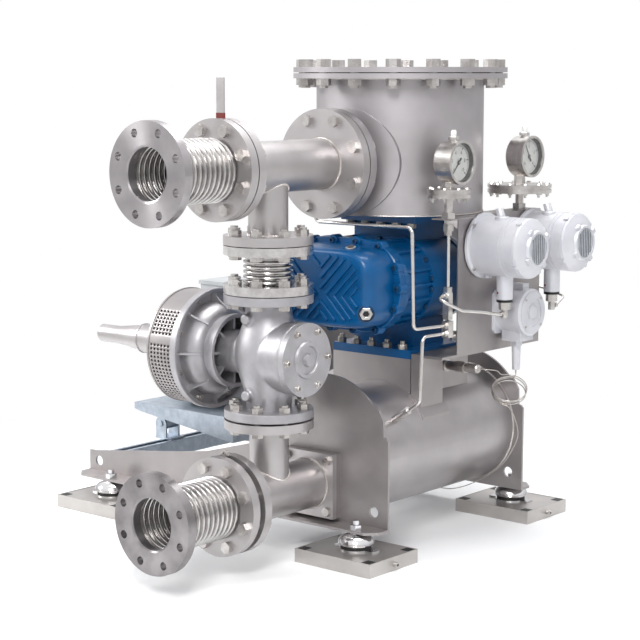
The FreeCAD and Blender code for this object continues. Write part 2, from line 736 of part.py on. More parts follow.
def make_gear_cover():
    """Oil-filled gear cover: an eight-sided dome on an oval flange, hollow for the gears."""
    depth = d.cover_back - d.cover_front
    half_w = d.blower_half_width - 20
    half_h = d.blower_half_height - 12
    body = doc.addObject("PartDesign::Body", "cover_body")
    sketch = draw_outline(sketch_on(body, "XZ_Plane"), racetrack(d.blower_half_width,
                                                                d.blower_half_height))
    pad(body, sketch, 16)
    sketch = draw_outline(sketch_on(body, "XZ_Plane"), eight_sided(half_w, half_h, 42))
    pad(body, sketch, depth, False, -6.5)
    place(body, (0, d.cover_back, d.blower_height))
    hollow = doc.addObject("PartDesign::Body", "hollow_body")
    sketch = draw_outline(sketch_on(hollow, "XZ_Plane"),
                          eight_sided(half_w - d.cover_wall, half_h - d.cover_wall, 36))
    pad(hollow, sketch, depth - d.cover_wall, False, -6.5)
    place(hollow, (0, d.cover_back, d.blower_height))
    window = rod(15.1, 38, (125, 556.8, 558), SIGHT_TURN)
    keep("gear_cover", cut(body, [hollow, window]))
    keep("sight_glass", rod(15, 28, (126, 555.8, 558), SIGHT_TURN))


SIGHT_TURN = Rotation(Vector(0, 0, 1), Vector(0.72, -0.69, 0))


def make_side_plates():
    """The two end walls of the blower, which carry the shaft bearings."""
    length = d.casing_front - d.cover_back
    front = fuse([oval(d.blower_half_width, d.blower_half_height, 14, d.cover_back),
                  oval(152, 96, length, d.cover_back),
                  oval(160, 104, 14, d.casing_front - 14)])
    bores = [rod(d.shaft_radius + 1, length, (x, d.cover_back, d.blower_height), "Y")
             for x in (drive_x, driven_x)]
    seats = [rod(d.bearing_radius, front_bearing + d.bearing_width - d.cover_back,
                 (x, d.cover_back, d.blower_height), "Y") for x in (drive_x, driven_x)]
    keep("gear_side_plate", cut(front, bores + seats))
    hub = d.guard_front - d.drive_plate_back
    rear = fuse([oval(160, 104, 14, d.casing_back), oval(148, 94, 50, d.casing_back),
                 rod(52, d.drive_plate_back - d.casing_back, (drive_x, d.casing_back, d.blower_height), "Y"),
                 rod(52, d.drive_plate_back + 6 - d.casing_back,
                     (driven_x, d.casing_back, d.blower_height), "Y"),
                 rod(44, hub, (drive_x, d.drive_plate_back, d.blower_height), "Y")])
    bores = [rod(d.shaft_radius + 1, d.drive_plate_back - d.casing_back,
                 (driven_x, d.casing_back, d.blower_height), "Y"),
             rod(d.shaft_radius + 1, d.guard_front - d.casing_back,
                 (drive_x, d.casing_back, d.blower_height), "Y")]
    seats = [rod(d.bearing_radius, d.bearing_width, (x, rear_bearing, d.blower_height), "Y")
             for x in (drive_x, driven_x)]
    keep("drive_side_plate", cut(rear, bores + seats))
    inner = 2 * (d.shaft_radius + d.running_clearance)
    keep("rotor_bearings", group([tube(2 * d.bearing_radius, inner, d.bearing_width, place_at, "Y")
                                  for place_at in bearing_places()]))


def make_casing():
    """Rotor housing with its twin bore, inlet port on top and outlet port and foot below."""
    length = d.casing_back - d.casing_front
    top = d.vessel_bottom - d.port_gasket
    rise = top - d.blower_foot
    y = d.vessel_y
    block = fuse([oval(158, 100, length, d.casing_front),
                  box((180, length - 4, rise), (-90, d.casing_front + 2, d.blower_foot)),
                  box((2 * d.port_half_x, 2 * d.port_half_y, d.port_flange_thick),
                      (-d.port_half_x, y - d.port_half_y, top - d.port_flange_thick)),
                  box((d.neck_right - d.neck_left, d.neck_back - d.neck_front, d.port_flange_thick),
                      (d.neck_left, d.neck_front, d.blower_foot))])
    hollow = [rod(tip_radius + d.casing_clearance, length, (x, d.casing_front, d.blower_height), "Y")
              for x in (drive_x, driven_x)]
    hollow.append(box((d.port_bore_x, d.port_bore_y, rise),
                      (-d.port_bore_x / 2, y - d.port_bore_y / 2, d.blower_foot)))
    keep("blower_casing", cut(block, hollow))


def lobe_face(radius, inset):
    """Outline of a three-lobe rotor: arches that a small circle rolls outside and inside.

    The small circle's radius is a sixth of the pitch radius, so three outer arches and
    three inner ones close the outline; the whole is drawn in by the inset.
    """
    small = radius / 6
    steps = 8
    points = []
    for arch in range(6):
        sign = 1 if arch % 2 == 0 else -1
        start = math.radians(60 * arch - 30)
        for step in range(steps):
            turn = start + math.radians(60) * step / steps
            roll = (radius / small) * (turn - start)
            centre = radius + sign * small
            lean = turn + sign * roll
            x = centre * math.cos(turn) - sign * small * math.cos(lean)
            y = centre * math.sin(turn) - sign * small * math.sin(lean)
            touch = Vector(radius * math.cos(turn), radius * math.sin(turn), 0)
            edge = Vector(x, y, 0)
            normal = edge - touch
            if normal.Length < 0.001:
                normal = Vector(math.sin(turn), -math.cos(turn), 0)
            normal = normal.normalize() * sign
            points.append(edge - normal * inset)
    curve = Part.BSplineCurve()
    curve.interpolate(points, True)
    return Part.Face(Part.Wire(curve.toShape()))


def across_y(shape, x, y):
    """Turn a shape drawn in X and Y so that it lies along +Y on a blower shaft."""
    shape.rotate(Vector(0, 0, 0), Vector(1, 0, 0), 90)
    shape.translate(point(x, y, d.blower_height))
    return shape


def make_rotors():
    """Two equal three-lobe rotors, each in one piece with its shaft."""
    front = d.casing_front + d.rotor_end_clearance
    length = (d.casing_back - d.rotor_end_clearance - front).value
    ends = {"drive_rotor": (drive_x, d.pulley_y + d.pulley_width + 4),
            "driven_rotor": (driven_x, d.drive_plate_back - 1)}
    for name, (x, end) in ends.items():
        lobes = lobe_face(pitch_radius.value, d.rotor_clearance.value).extrude(Vector(0, 0, -length))
        lobes = across_y(lobes, x, front)
        shaft = rod(d.shaft_radius, end - shaft_front, (x, shaft_front, d.blower_height), "Y")
        keep(name, fuse([from_shape(lobes), shaft]))


def gear_face(teeth, module, half_turn):
    """A spur gear outline: each tooth is a trapezium between the root and the tip circle."""
    radius = module * teeth / 2
    root = radius - 1.2 * module
    tip = radius + 0.85 * module
    pitch = 2 * math.pi / teeth
    corners = []
    for tooth in range(teeth):
        middle = pitch * (tooth + half_turn)
        for share, at in ((-0.36, root), (-0.115, tip), (0.115, tip), (0.36, root)):
            corners.append(Vector(at * math.cos(middle + share * pitch),
                                  at * math.sin(middle + share * pitch), 0))
    return Part.Face(Part.makePolygon(corners + corners[:1]))


def make_gears():
    """Timing gears that keep the two rotors from touching."""
    for name, x, half_turn in (("drive_gear", drive_x, 0), ("driven_gear", driven_x, 0.5)):
        module = (d.rotor_centres / d.gear_teeth).value
        wheel = gear_face(int(d.gear_teeth.value), module, half_turn)
        wheel = across_y(wheel.extrude(Vector(0, 0, -d.gear_width.value)), x, gear_front)
        bore = rod(d.shaft_radius + d.running_clearance, d.gear_width + 2,
                   (x, gear_front - 1, d.blower_height), "Y")
        keep(name, cut(from_shape(wheel), [bore]))


make_gear_cover()
make_side_plates()
make_casing()
make_rotors()
make_gears()

# The frame: two end plates carry the silencer between them and stand on four mounts.
plate_gap = d.rear_plate_y - d.front_plate_y - d.plate_thick
silencer_front = d.front_plate_y + d.plate_thick
mount_spots = [(x, y) for y in (d.mount_front, d.mount_rear) for x in (d.mount_left, d.mount_right)]
rail_top = d.beam_height


def end_plate(name, y, reach, pipe_hole):
    """Laser-cut end plate: a low beam at the left, an arch over the silencer, a bent foot."""
    left, right, foot, beam = d.plate_left, d.plate_right, d.plate_foot, d.beam_height
    arch_left = d.silencer_x - 140
    arch_right = d.silencer_x + 126
    arch_foot = d.silencer_z + 132
    corners = [(left, foot), (right, foot), (right, 276), (right - 6, 282), (right - 13, 284),
               (right - 14, 322), (right - 28, 345), (arch_right, arch_foot, 178),
               (arch_left, arch_foot - 10), (arch_left - 16, arch_foot - 30), (-190, 222),
               (-350, 178), (-430, 166), (left + 20, beam), (left, beam)]
    holes = [(26, right - 41, 110), (26, left + 35, 100)]
    if pipe_hole:
        holes.append((pipe_bore, 0, d.outlet_height))
    sheet = plate("XZ_Plane", corners, d.plate_thick, (0, y, 0), holes, True)
    inset = 14
    outward = -1 if reach.value < 0 else 1
    start = 0 if outward > 0 else d.plate_thick
    foot_corners = [(left, start), (right, start), (right, reach + start - 26 * outward),
                    (right - 26, reach + start), (left + 26, reach + start),
                    (left, reach + start - 26 * outward)]
    if outward < 0:
        foot_corners = foot_corners[::-1]
    holes = [(17, x, (spot_y - y)) for x, spot_y in mount_spots
             if abs((spot_y - y).value) < abs(reach.value) + inset]
    foot_sheet = plate("XY_Plane", foot_corners, d.plate_thick, (0, y, foot), holes)
    pieces = [sheet, foot_sheet]
    if pipe_hole:
        pieces.append(plate("XZ_Plane", rectangle(-75, -75, 75, 75), 13.7,
                            (0, y - 13.7, d.outlet_height),
                            [(pipe_bore, 0, 0)], True))
    keep(name, fuse(pieces))


def make_frame():
    end_plate("front_end_plate", d.front_plate_y, -d.plate_flange_reach, True)
    end_plate("rear_end_plate", d.rear_plate_y, d.plate_flange_reach, False)
    half = d.rail_width / 2
    wide = d.rail_width
    rails = []
    for x in (d.rail_x, d.inner_rail_x):
        section = [(-half, 0), (half, 0), (half, wide), (half - 10, wide), (half - 10, wide - 2.5),
                   (half - 2.5, wide - 2.5), (half - 2.5, 2.5), (2.5 - half, 2.5),
                   (2.5 - half, wide - 2.5), (10 - half, wide - 2.5), (10 - half, wide), (-half, wide)]
        rails.append(plate("XZ_Plane", section, plate_gap, (x, silencer_front, rail_top - wide),
                           (), True))
    keep("frame_rails", group(rails))


def make_feet():
    """Upturned sheet trays under four rubber machine mounts."""
    trays, rubbers, metal = [], [], []
    sheet = d.tray_sheet
    for x, y in mount_spots:
        left, front = x - d.tray_length / 2, y - d.tray_width / 2
        tray = box((d.tray_length, d.tray_width, d.tray_height), (left, front, 0))
        inner = box((d.tray_length - 2 * sheet, d.tray_width - 2 * sheet, d.tray_height - sheet),
                    (left + sheet, front + sheet, 0))
        corner = [box((14, 14, 10), (left + dx, front + dy, d.tray_height - 5))
                  for dx in (8, d.tray_length - 22) for dy in (8, d.tray_width - 22)]
        trays.append(cut(tray, [inner] + corner))
        base = fuse([rod(38, 4, (x, y, d.tray_height)),
                     box((112, 26, 4), (x - 56, y - 13, d.tray_height))])
        metal.append(base)
        rubbers.append(turned([(0, 0), (35, 0), (35, 8), (28, 12), (0, 12)],
                              (x, y, d.tray_height + 4)))
        low = d.tray_height + 16
        rise = d.plate_foot - low
        metal.append(turned([(0, 0), (30, 0), (38, -4), (40, -1), (36, 8), (24, 13), (15, 14),
                             (15, rise), (0, rise)], (x, y, low)))
        metal.append(fuse([rod(8, d.plate_thick + 22, (x, y, d.plate_foot)),
                           hexagon(24, 12, (x, y, d.plate_foot + d.plate_thick))]))
    keep("foot_trays", group(trays))
    keep("mount_rubbers", group(rubbers))
    keep("mount_metalwork", group(metal))


def make_silencer():
    """Lying discharge silencer: shell with two heads, a perforated core and the inlet neck."""
    inner = d.silencer_radius - d.silencer_wall
    axis = (d.silencer_x, silencer_front, d.silencer_z)
    shell = tube(2 * d.silencer_radius, 2 * inner, plate_gap, axis, "Y")
    heads = [rod(inner, 4, (d.silencer_x, y, d.silencer_z), "Y")
             for y in (silencer_front, d.rear_plate_y - 4)]
    opening = box((d.port_bore_x, d.port_bore_y + 40, 200),
                  (-d.port_bore_x / 2, d.vessel_y - d.port_bore_y / 2 - 20, d.silencer_z + 40))
    outlet = rod(pipe_bore / 2, 10, (0, silencer_front - 2, d.outlet_height), "Y")
    keep("silencer_shell", cut(fuse([shell] + heads), [opening, outlet]))
    wall = d.neck_wall
    wide, deep = d.neck_right - d.neck_left, d.neck_back - d.neck_front
    low = d.silencer_z + 60
    tall = d.blower_foot - low
    inside = box((wide - 2 * wall, deep - 2 * wall, tall), (d.neck_left + wall, d.neck_front + wall, low))
    plate_top = box((wide, deep, d.neck_plate), (d.neck_left, d.neck_front, d.blower_foot - d.neck_plate))
    box_wall = cut(box((wide, deep, tall), (d.neck_left, d.neck_front, low)), [inside])
    port = box((d.port_bore_x, d.port_bore_y, 40),
               (-d.port_bore_x / 2, d.vessel_y - d.port_bore_y / 2, d.blower_foot - 30))
    drum = rod(d.silencer_radius, plate_gap, axis, "Y")
    keep("silencer_neck", cut(fuse([box_wall, plate_top]), [drum, port]))
    post_x = d.neck_right + 2
    post = box((d.post_depth, d.post_width, d.panel_foot - 6 - low), (post_x, d.neck_front, low))
    slot = box((d.post_depth - 8, d.post_width - 8, d.panel_foot - 10 - low),
               (post_x + 4, d.neck_front + 4, low))
    foot = box((d.post_depth + 14, d.post_width + 20, 200), (post_x, d.neck_front - 10, low))
    saddle = common(foot, tube(2 * d.silencer_radius + 8, 2 * d.silencer_radius, plate_gap, axis, "Y"))
    drum_again = rod(d.silencer_radius, plate_gap, axis, "Y")
    return cut(fuse([cut(post, [slot]), saddle]), [drum_again])


make_frame()
make_feet()
panel_post = make_silencer()

# Motor, its hinged plate and the V-belt drive behind the blower.
motor_z = d.motor_plate_top + d.motor_shaft_height
guard_low = d.guard_front + d.guard_sheet
bracket_spots = (d.motor_plate_front + 70, d.motor_plate_back - 120)
ear_gap = 42
ear_thick = 5
jack_x = d.inner_rail_x - 7
jack_y = (d.motor_plate_front + d.motor_plate_back) / 2


def make_motor_plate():
    """Folded plate under the motor, with deep tapering end webs and two hinge tongues."""
    left, right = d.motor_plate_left, d.motor_plate_right
    wide, deep = right - left, d.motor_plate_back - d.motor_plate_front
    sheet = d.motor_plate_sheet
    top = plate("XY_Plane", rectangle(left, 0, right, deep), sheet,
                (0, d.motor_plate_front, d.motor_plate_top - sheet),
                [(34, jack_x, deep / 2)])
    web = [(left, -17), (left + 20, -22), (right, -64), (right, 0), (left, 0)]
    webs = [plate("XZ_Plane", web, sheet, (0, y, d.motor_plate_top), (), True)
            for y in (d.motor_plate_front, d.motor_plate_back - sheet)]
    side = box((sheet, deep, 64), (right - sheet, d.motor_plate_front, d.motor_plate_top - 64))
    rise = d.motor_plate_top - sheet - d.hinge_height
    tongues = []
    for y in bracket_spots:
        start = y + ear_thick + 1
        thick = ear_gap - 2
        tongues.append(box((34, thick, rise), (d.hinge_x - 17, start, d.hinge_height)))
        tongues.append(rod(17, thick, (d.hinge_x, start, d.hinge_height), "Y"))
    holes = [rod(8 + d.running_clearance, ear_gap, (d.hinge_x, y + ear_thick, d.hinge_height), "Y")
             for y in bracket_spots]
    keep("motor_plate", cut(fuse([top, side] + webs + tongues), holes))


def make_hinges():
    """Two U brackets with pins on the outer rail, and the jack screw on the inner one."""
    pieces = []
    for y in bracket_spots:
        rise = d.hinge_height - rail_top
        ears = []
        for start in (y, y + ear_thick + ear_gap):
            ears.append(box((38, ear_thick, rise), (d.hinge_x - 19, start, rail_top)))
            ears.append(rod(19, ear_thick, (d.hinge_x, start, d.hinge_height), "Y"))
        base = box((58, ear_gap + 2 * ear_thick, 5), (d.hinge_x - 21, y, rail_top))
        pin = rod(8, ear_gap + 2 * ear_thick + 8, (d.hinge_x, y - 4, d.hinge_height), "Y")
        pieces.append(fuse(ears + [base, pin]))
    tall = d.motor_plate_top + 34 - rail_top
    under = d.motor_plate_top - d.motor_plate_sheet - 14.3
    pieces.append(fuse([box((60, 60, 6), (jack_x - 30, jack_y - 30, rail_top)),
                        rod(9, tall, (jack_x, jack_y, rail_top)),
                        hexagon(28, 14, (jack_x, jack_y, rail_top + 6)),
                        turned([(9, 0), (22, 0), (22, 14), (9, 14)], (jack_x, jack_y, under))]))
    keep("motor_supports", group(pieces))


def make_motor():
    """Fan-cooled motor: finned housing on feet, shaft with rotor, fan and cowl."""
    length = d.motor_back - d.motor_front
    core = d.motor_radius - 14
    axis = (d.motor_x, d.motor_front, motor_z)
    fin = Part.makeBox(16, 3, length.value - 26, Vector(core.value - 2, -1.5, 14))
    fins = from_shape(Part.makeCompound(ring_of(fin, 28, 0, point(*axis), "Y")))
    bottom = d.motor_plate_top
    feet = []
    for side in (-1, 1):
        left = d.motor_x + (70 if side > 0 else -128)
        for y in (d.motor_front + 24, d.motor_back - 84):
            feet.append(box((58, 60, 16), (left, y, bottom)))
            feet.append(box((34, 60, 70), (d.motor_x + (64 if side > 0 else -98), y, bottom)))
    crate = fuse([box((118, 118, 74), (d.motor_x - 59, d.motor_front + 60, motor_z + core - 10)),
                  box((126, 126, 10), (d.motor_x - 63, d.motor_front + 56, motor_z + core + 64))])
    solid = fuse([rod(core, length, axis, "Y"), rod(core + 8, 14, axis, "Y"),
                  rod(core + 8, 16, (d.motor_x, d.motor_back - 16, motor_z), "Y"),
                  rod(46, 14, (d.motor_x, d.motor_back, motor_z), "Y"), fins, crate] + feet)
    hollow = [rod(66, length - 40, (d.motor_x, d.motor_front + 20, motor_z), "Y"),
              rod(d.motor_shaft_radius + d.running_clearance, length + 20, axis, "Y")]
    keep("motor_housing", cut(solid, hollow))
    start = d.cowl_front + 12
    end = d.pulley_y + d.pulley_width + 2
    keep("motor_rotor", fuse([rod(d.motor_shaft_radius, end - start, (d.motor_x, start, motor_z), "Y"),
                              rod(62, length - 60, (d.motor_x, d.motor_front + 30, motor_z), "Y")]))
    blade = Part.makeBox(70, 4, 30, Vector(26, -2, 2))
    blades = from_shape(Part.makeCompound(ring_of(blade, 7, 0, point(d.motor_x, start + 2, motor_z), "Y")))
    hub = tube(60, 2 * d.motor_shaft_radius.value + 0.1, 34, (d.motor_x, start + 2, motor_z), "Y")
    keep("motor_fan", fuse([hub, blades]))
    deep = d.motor_front - d.cowl_front
    cap = turned([(0, 0), (96, 0), (112, 10), (core + 10.3, 30), (core + 10.3, deep + 11),
                  (core + 8.3, deep + 11), (core + 8.3, 32), (110, 12), (94, 2), (0, 2)], (d.motor_x, d.cowl_front, motor_z), "Y")
    slot = Part.makeBox(46, 9, 6, Vector(34, -4.5, -2))
    slots = from_shape(Part.makeCompound(ring_of(slot, 16, 0, point(d.motor_x, d.cowl_front, motor_z),
                                                 "Y")))
    keep("fan_cowl", cut(cap, [slots]))


def pulley_profile(radius, bore):
    """Half section of a pulley with three V grooves."""
    profile = [(bore, 0), (radius, 0)]
    for groove in range(3):
        start = 4 + 17 * groove
        profile += [(radius, start), (radius - 11, start + 2.2), (radius - 11, start + 10.8),
                    (radius, start + 13)]
    return profile + [(radius, d.pulley_width), (bore, d.pulley_width)]


def hull_wire(centre_a, radius_a, centre_b, radius_b):
    """The tight outline round two circles, in the plane of X and Z."""
    apart = centre_b - centre_a
    lean = math.acos((radius_a - radius_b) / apart.Length)
    heading = math.atan2(apart.z, apart.x)

    def spot(centre, radius, turn):
        return centre + Vector(radius * math.cos(turn), 0, radius * math.sin(turn))

    upper_a, upper_b = (spot(c, r, heading + lean) for c, r in ((centre_a, radius_a),
                                                                (centre_b, radius_b)))
    lower_a, lower_b = (spot(c, r, heading - lean) for c, r in ((centre_a, radius_a),
                                                                (centre_b, radius_b)))
    far_a = spot(centre_a, radius_a, heading + math.pi)
    far_b = spot(centre_b, radius_b, heading)
    return Part.Wire([Part.LineSegment(upper_a, upper_b).toShape(),
                      Part.Arc(upper_b, far_b, lower_b).toShape(),
                      Part.LineSegment(lower_b, lower_a).toShape(),
                      Part.Arc(lower_a, far_a, upper_a).toShape()])


def hull_plate(grow_a, grow_b, y, thick, shrink=0):
    """A plate whose outline runs round both pulleys."""
    blower = point(drive_x, y, d.blower_height)
    motor = point(d.motor_x, y, motor_z)
    radius_a = d.motor_pulley_d.value / 2 + grow_a - shrink
    radius_b = d.blower_pulley_d.value / 2 + grow_b - shrink
    face = Part.Face(hull_wire(motor, radius_a, blower, radius_b))
    return face.extrude(Vector(0, as_size(thick).value, 0))


def make_drive():
    """Pulleys, three V-belts and the two-piece guard round them."""
    bore = d.shaft_radius + d.running_clearance
    keep("blower_pulley", turned(pulley_profile(d.blower_pulley_d / 2, bore),
                                 (drive_x, d.pulley_y, d.blower_height), "Y"))
    bore = d.motor_shaft_radius + d.running_clearance
    keep("motor_pulley", turned(pulley_profile(d.motor_pulley_d / 2, bore),
                                (d.motor_x, d.pulley_y, motor_z), "Y"))
    belts = []
    for groove in range(3):
        y = d.pulley_y + 4 + 17 * groove + 2.5
        outer = hull_plate(0, 0, y, 8)
        belts.append(outer.cut(hull_plate(0, 0, y, 8, 10.7)))
    keep("drive_belts", from_shape(Part.makeCompound(belts)))
    sheet = d.guard_sheet.value
    back = hull_plate(42, 42, d.guard_front, sheet)
    holes = [rod(44.3, 20, (drive_x, d.guard_front - 5, d.blower_height), "Y"),
             rod(46, 20, (d.motor_x, d.guard_front - 5, motor_z), "Y")]
    back = cut(from_shape(back), holes)
    deep = d.guard_back - guard_low
    shell = hull_plate(40, 40, guard_low, deep).cut(hull_plate(40, 40, guard_low, deep - sheet, sheet))
    keep("belt_guard", group([back, from_shape(shell)]))


make_motor_plate()
make_hinges()
make_motor()
make_drive()

# Instruments on the right: a folded panel on a post, with gauges, transmitters and tubing.
gauge_left_x = d.gauge_left_x
dial_depth = 36
hub_seat = dial_depth + 1.8
pointer_gap = 0.2
pin_radius = 2.2


def gauge(x, y, seal_od, seal_low, foot):
    """A dial gauge that faces +X, on its diaphragm seal and stem; the dial lies open."""
    case = turned([(0, 0), (44, 0), (48, 4), (48, 38), (50, 40), (50, 50), (44, 50),
                   (44, dial_depth), (4, dial_depth), (4, hub_seat), (pin_radius, hub_seat),
                   (pin_radius, hub_seat + 4), (0, hub_seat + 4)],
                  (x - 12, y, d.gauge_height), "X")
    radius = as_size(seal_od) / 2
    seal = turned([(0, 0), (radius, 0), (radius, 8), (radius - 3, 8), (radius - 3, 12), (radius, 12),
                   (radius, 20), (0, 20)], (x, y, seal_low))
    stem = rod(11, d.gauge_height - 40 - seal_low, (x, y, seal_low))
    root = rod(10, seal_low - foot, (x, y, foot))
    collar = hexagon(30, 14, (x, y, foot))
    vent = turned([(0, 0), (8, 0), (8, 12), (4, 12), (4, 22), (0, 22)],
                  (x + 12, y, d.gauge_height + 46))
    return fuse([case, seal, stem, root, collar, vent])


def pointer(name, x, y, turn):
    """A dial pointer that turns on the gauge's pin; the turn is clockwise from twelve."""
    body = plate("YZ_Plane", [(-2.4, -13), (2.4, -13), (1.6, 0), (0.5, 37), (-0.5, 37), (-1.6, 0)],
                 1, (0, 0, 0))
    at = (x - 12 + hub_seat + pointer_gap, y, d.gauge_height)
    place(body, at, Rotation(Vector(1, 0, 0), -turn))
    hub = rod(5, 1, at, "X")
    hole = rod(pin_radius + d.running_clearance, 6, (at[0] - 1, at[1], at[2]), "X")
    keep(name, cut(fuse([body, hub]), [hole]))


def make_gauges():
    stand = d.panel_top
    keep("pressure_gauges", group([gauge(gauge_left_x, d.gauge_left_y, d.seal_left_od, 813, stand),
                                   gauge(d.gauge_right_x, d.gauge_right_y, d.seal_right_od, 806,
                                         stand)]))
    pointer("pointer_left", gauge_left_x, d.gauge_left_y, 222)
    pointer("pointer_right", d.gauge_right_x, d.gauge_right_y, 330)


def make_stand():
    """The instrument panel: foot sheet, upright sheet and top fold, on the square post."""
    x, sheet = d.panel_x, d.panel_sheet
    wide = d.panel_right - d.panel_left
    start = d.neck_right + 2
    foot = box((x - start, d.panel_right - d.neck_front, 6), (start, d.neck_front, d.panel_foot - 6))
    upright = box((sheet, wide, d.panel_top - d.panel_foot), (x - sheet, d.panel_left, d.panel_foot))
    fold = box((d.panel_return, wide, sheet), (x - d.panel_return, d.panel_left, d.panel_top - sheet))
    tab = box((54, d.panel_left - d.gauge_left_y + 16 + 20, sheet),
              (gauge_left_x - 36, d.gauge_left_y - 16, d.panel_top - sheet))
    keep("instrument_panel", group([fuse([foot, upright, fold, tab]), panel_post]))


def transmitter(y):
    """A field transmitter: round housing with an eight-sided window cap, on a sensor neck."""
    x = d.panel_x
    reach = d.transmitter_face - x
    half = d.transmitter_od / 2
    housing = turned([(0, 0), (34, 0), (34, 6), (half + 3, 6), (half + 3, 13), (half - 3, 16),
                      (half - 2, 74), (half, 76), (half, 82), (half - 2, 84), (half - 2, 90), (0, 90)],
                     (x, y, d.transmitter_height), "X")
    corner = half * 0.59
    cap = plate("YZ_Plane", eight_sided(half, half, corner), 46, (x + 88, y, d.transmitter_height))
    window = turned([(0, 0), (52, 0), (52, reach - 130), (44, reach - 130), (44, reach - 136),
                     (0, reach - 136)], (x + 130, y, d.transmitter_height), "X")
    neck_x = x + 67
    neck_low = d.transmitter_height - 129
    neck = rod(19, 80, (neck_x, y, neck_low))
    nut = hexagon(27, 18, (neck_x, y, neck_low - 18))
    port = rod(8, 20, (neck_x, y, neck_low - 38))
    lean = Rotation(Vector(0, 0, 1), Vector(-0.1, -0.42, 0.9))
    stub = rod(8, 40, (neck_x - 4, y - 26, d.transmitter_height + half - 16), lean)
    boss = rod(14, 26, (neck_x - 4, y - 16, d.transmitter_height + half - 24), lean)
    conduit = rod(12, 34, (x + 32, y, d.transmitter_height - half - 14))
    return fuse([housing, cap, window, neck, nut, port, stub, boss, conduit])


def make_transmitters():
    keep("transmitters", group([transmitter(d.transmitter_front_y),
                                transmitter(d.transmitter_rear_y)]))


def make_switch():
    """Temperature switch: square foot, round housing, terminal box and the capillary's boot."""
    x, y, z = d.panel_x, d.switch_y, d.switch_height
    half = d.switch_od / 2
    foot = plate("YZ_Plane", eight_sided(half, half, 10), 6, (x, y, z))
    housing = turned([(0, 0), (half, 0), (half, 60), (half + 3, 62), (half + 3, 76), (half - 2, 80),
                      (16, 80), (16, 83), (0, 83)], (x, y, z), "X")
    crate = box((52, 56, 52), (x + 12, y - 28, z - 70))
    top = box((30, 26, 22), (x + 30, y - 13, z + half - 8))
    gland = hexagon(27, 13, (switch_boot_x, y, z - 83))
    boot = cone(boot_tip, 11, z - 83 - boot_foot, (switch_boot_x, y, boot_foot))
    keep("temperature_switch", fuse([foot, housing, crate, top, gland, boot]))


switch_boot_x = d.panel_x + 35
boot_tip = 9
boot_foot = d.switch_height - 142


def swept(points, diameter, bend=None):
    """A round tube along straight runs joined by tangent arcs.

    Without a bend radius each arc is as large as its runs allow: 0.45 of the shorter
    run, divided by the tangent of half the turn.
    """
    path = [point(*spot) for spot in points]
    edges = []
    length = 0
    start = path[0]
    for before, corner, after in zip(path, path[1:], path[2:]):
        arriving = (corner - before).normalize()
        leaving = (after - corner).normalize()
        half_turn = arriving.getAngle(leaving) / 2
        shorter = min((corner - before).Length, (after - corner).Length)
        radius = bend or 0.45 * shorter / math.tan(half_turn)
        reach = radius * math.tan(half_turn)
        first = corner - arriving * reach
        last = corner + leaving * reach
        inward = (leaving - arriving).normalize()
        middle = corner + inward * (radius / math.cos(half_turn) - radius)
        edges.append(Part.LineSegment(start, first).toShape())
        edges.append(Part.Arc(first, middle, last).toShape())
        length += (first - start).Length + 2 * half_turn * radius
        start = last
    edges.append(Part.LineSegment(start, path[-1]).toShape())
    length += (path[-1] - start).Length
    section = Part.Wire(Part.makeCircle(diameter / 2, path[0], path[1] - path[0]))
    solid = Part.Wire(edges).makePipeShell([section], True, True)
    expected = math.pi * diameter ** 2 / 4 * length
    if abs(solid.Volume - expected) > 0.01 * expected:
        raise ValueError("a tube came out with the wrong volume")
    return solid


# The manifold column hangs below the left gauge; its two tees feed the impulse tubes.
column = (gauge_left_x, d.gauge_left_y)
upper_tee = 590
pump_tee = 521
drain_tee = 503
tee_reach = 16
sensor_port = d.transmitter_height.value - 157
side_fitting = (0.827, 0.562)


def on_silencer(radius, y):
    """A point beside the silencer, out along the side fitting's direction."""
    return (d.silencer_x + side_fitting[0] * radius, y, d.silencer_z + side_fitting[1] * radius)


def make_tubing():
    x, y = column
    tubes = [
        Part.makeCylinder(4, 117.4, point(x, y, 609.3), Vector(0, 0, 1)),
        swept([(x, y - tee_reach, upper_tee), (x, y - 38, 588), (x + 23, y - 40, 578),
               (x + 30, y + 15, 555), (x + 42, y + 76, 547),
               (x + 50, d.transmitter_front_y - 18.8, sensor_port)], 8, 12),
        swept([(x, y - tee_reach, pump_tee), (x - 4, 600, 524), (x - 8, 598, 752), (-70, 612, 750),
               (-70, 612, 790.7)], 8, 14),
        swept([(x, y - tee_reach, drain_tee), (x - 2, 632, 504), (x, 620, 356), on_silencer(196.3, 618)],
              8, 14),
        swept([(d.panel_x + 67, d.transmitter_rear_y + 18.1, sensor_port), (d.panel_x + 65, 1140, 552),
               (d.panel_x + 5, 1150, 566), (190, 1140, 572), (190, 1099.7, 576)], 6, 12),
    ]
    keep("impulse_tubes", from_shape(Part.makeCompound(tubes)))


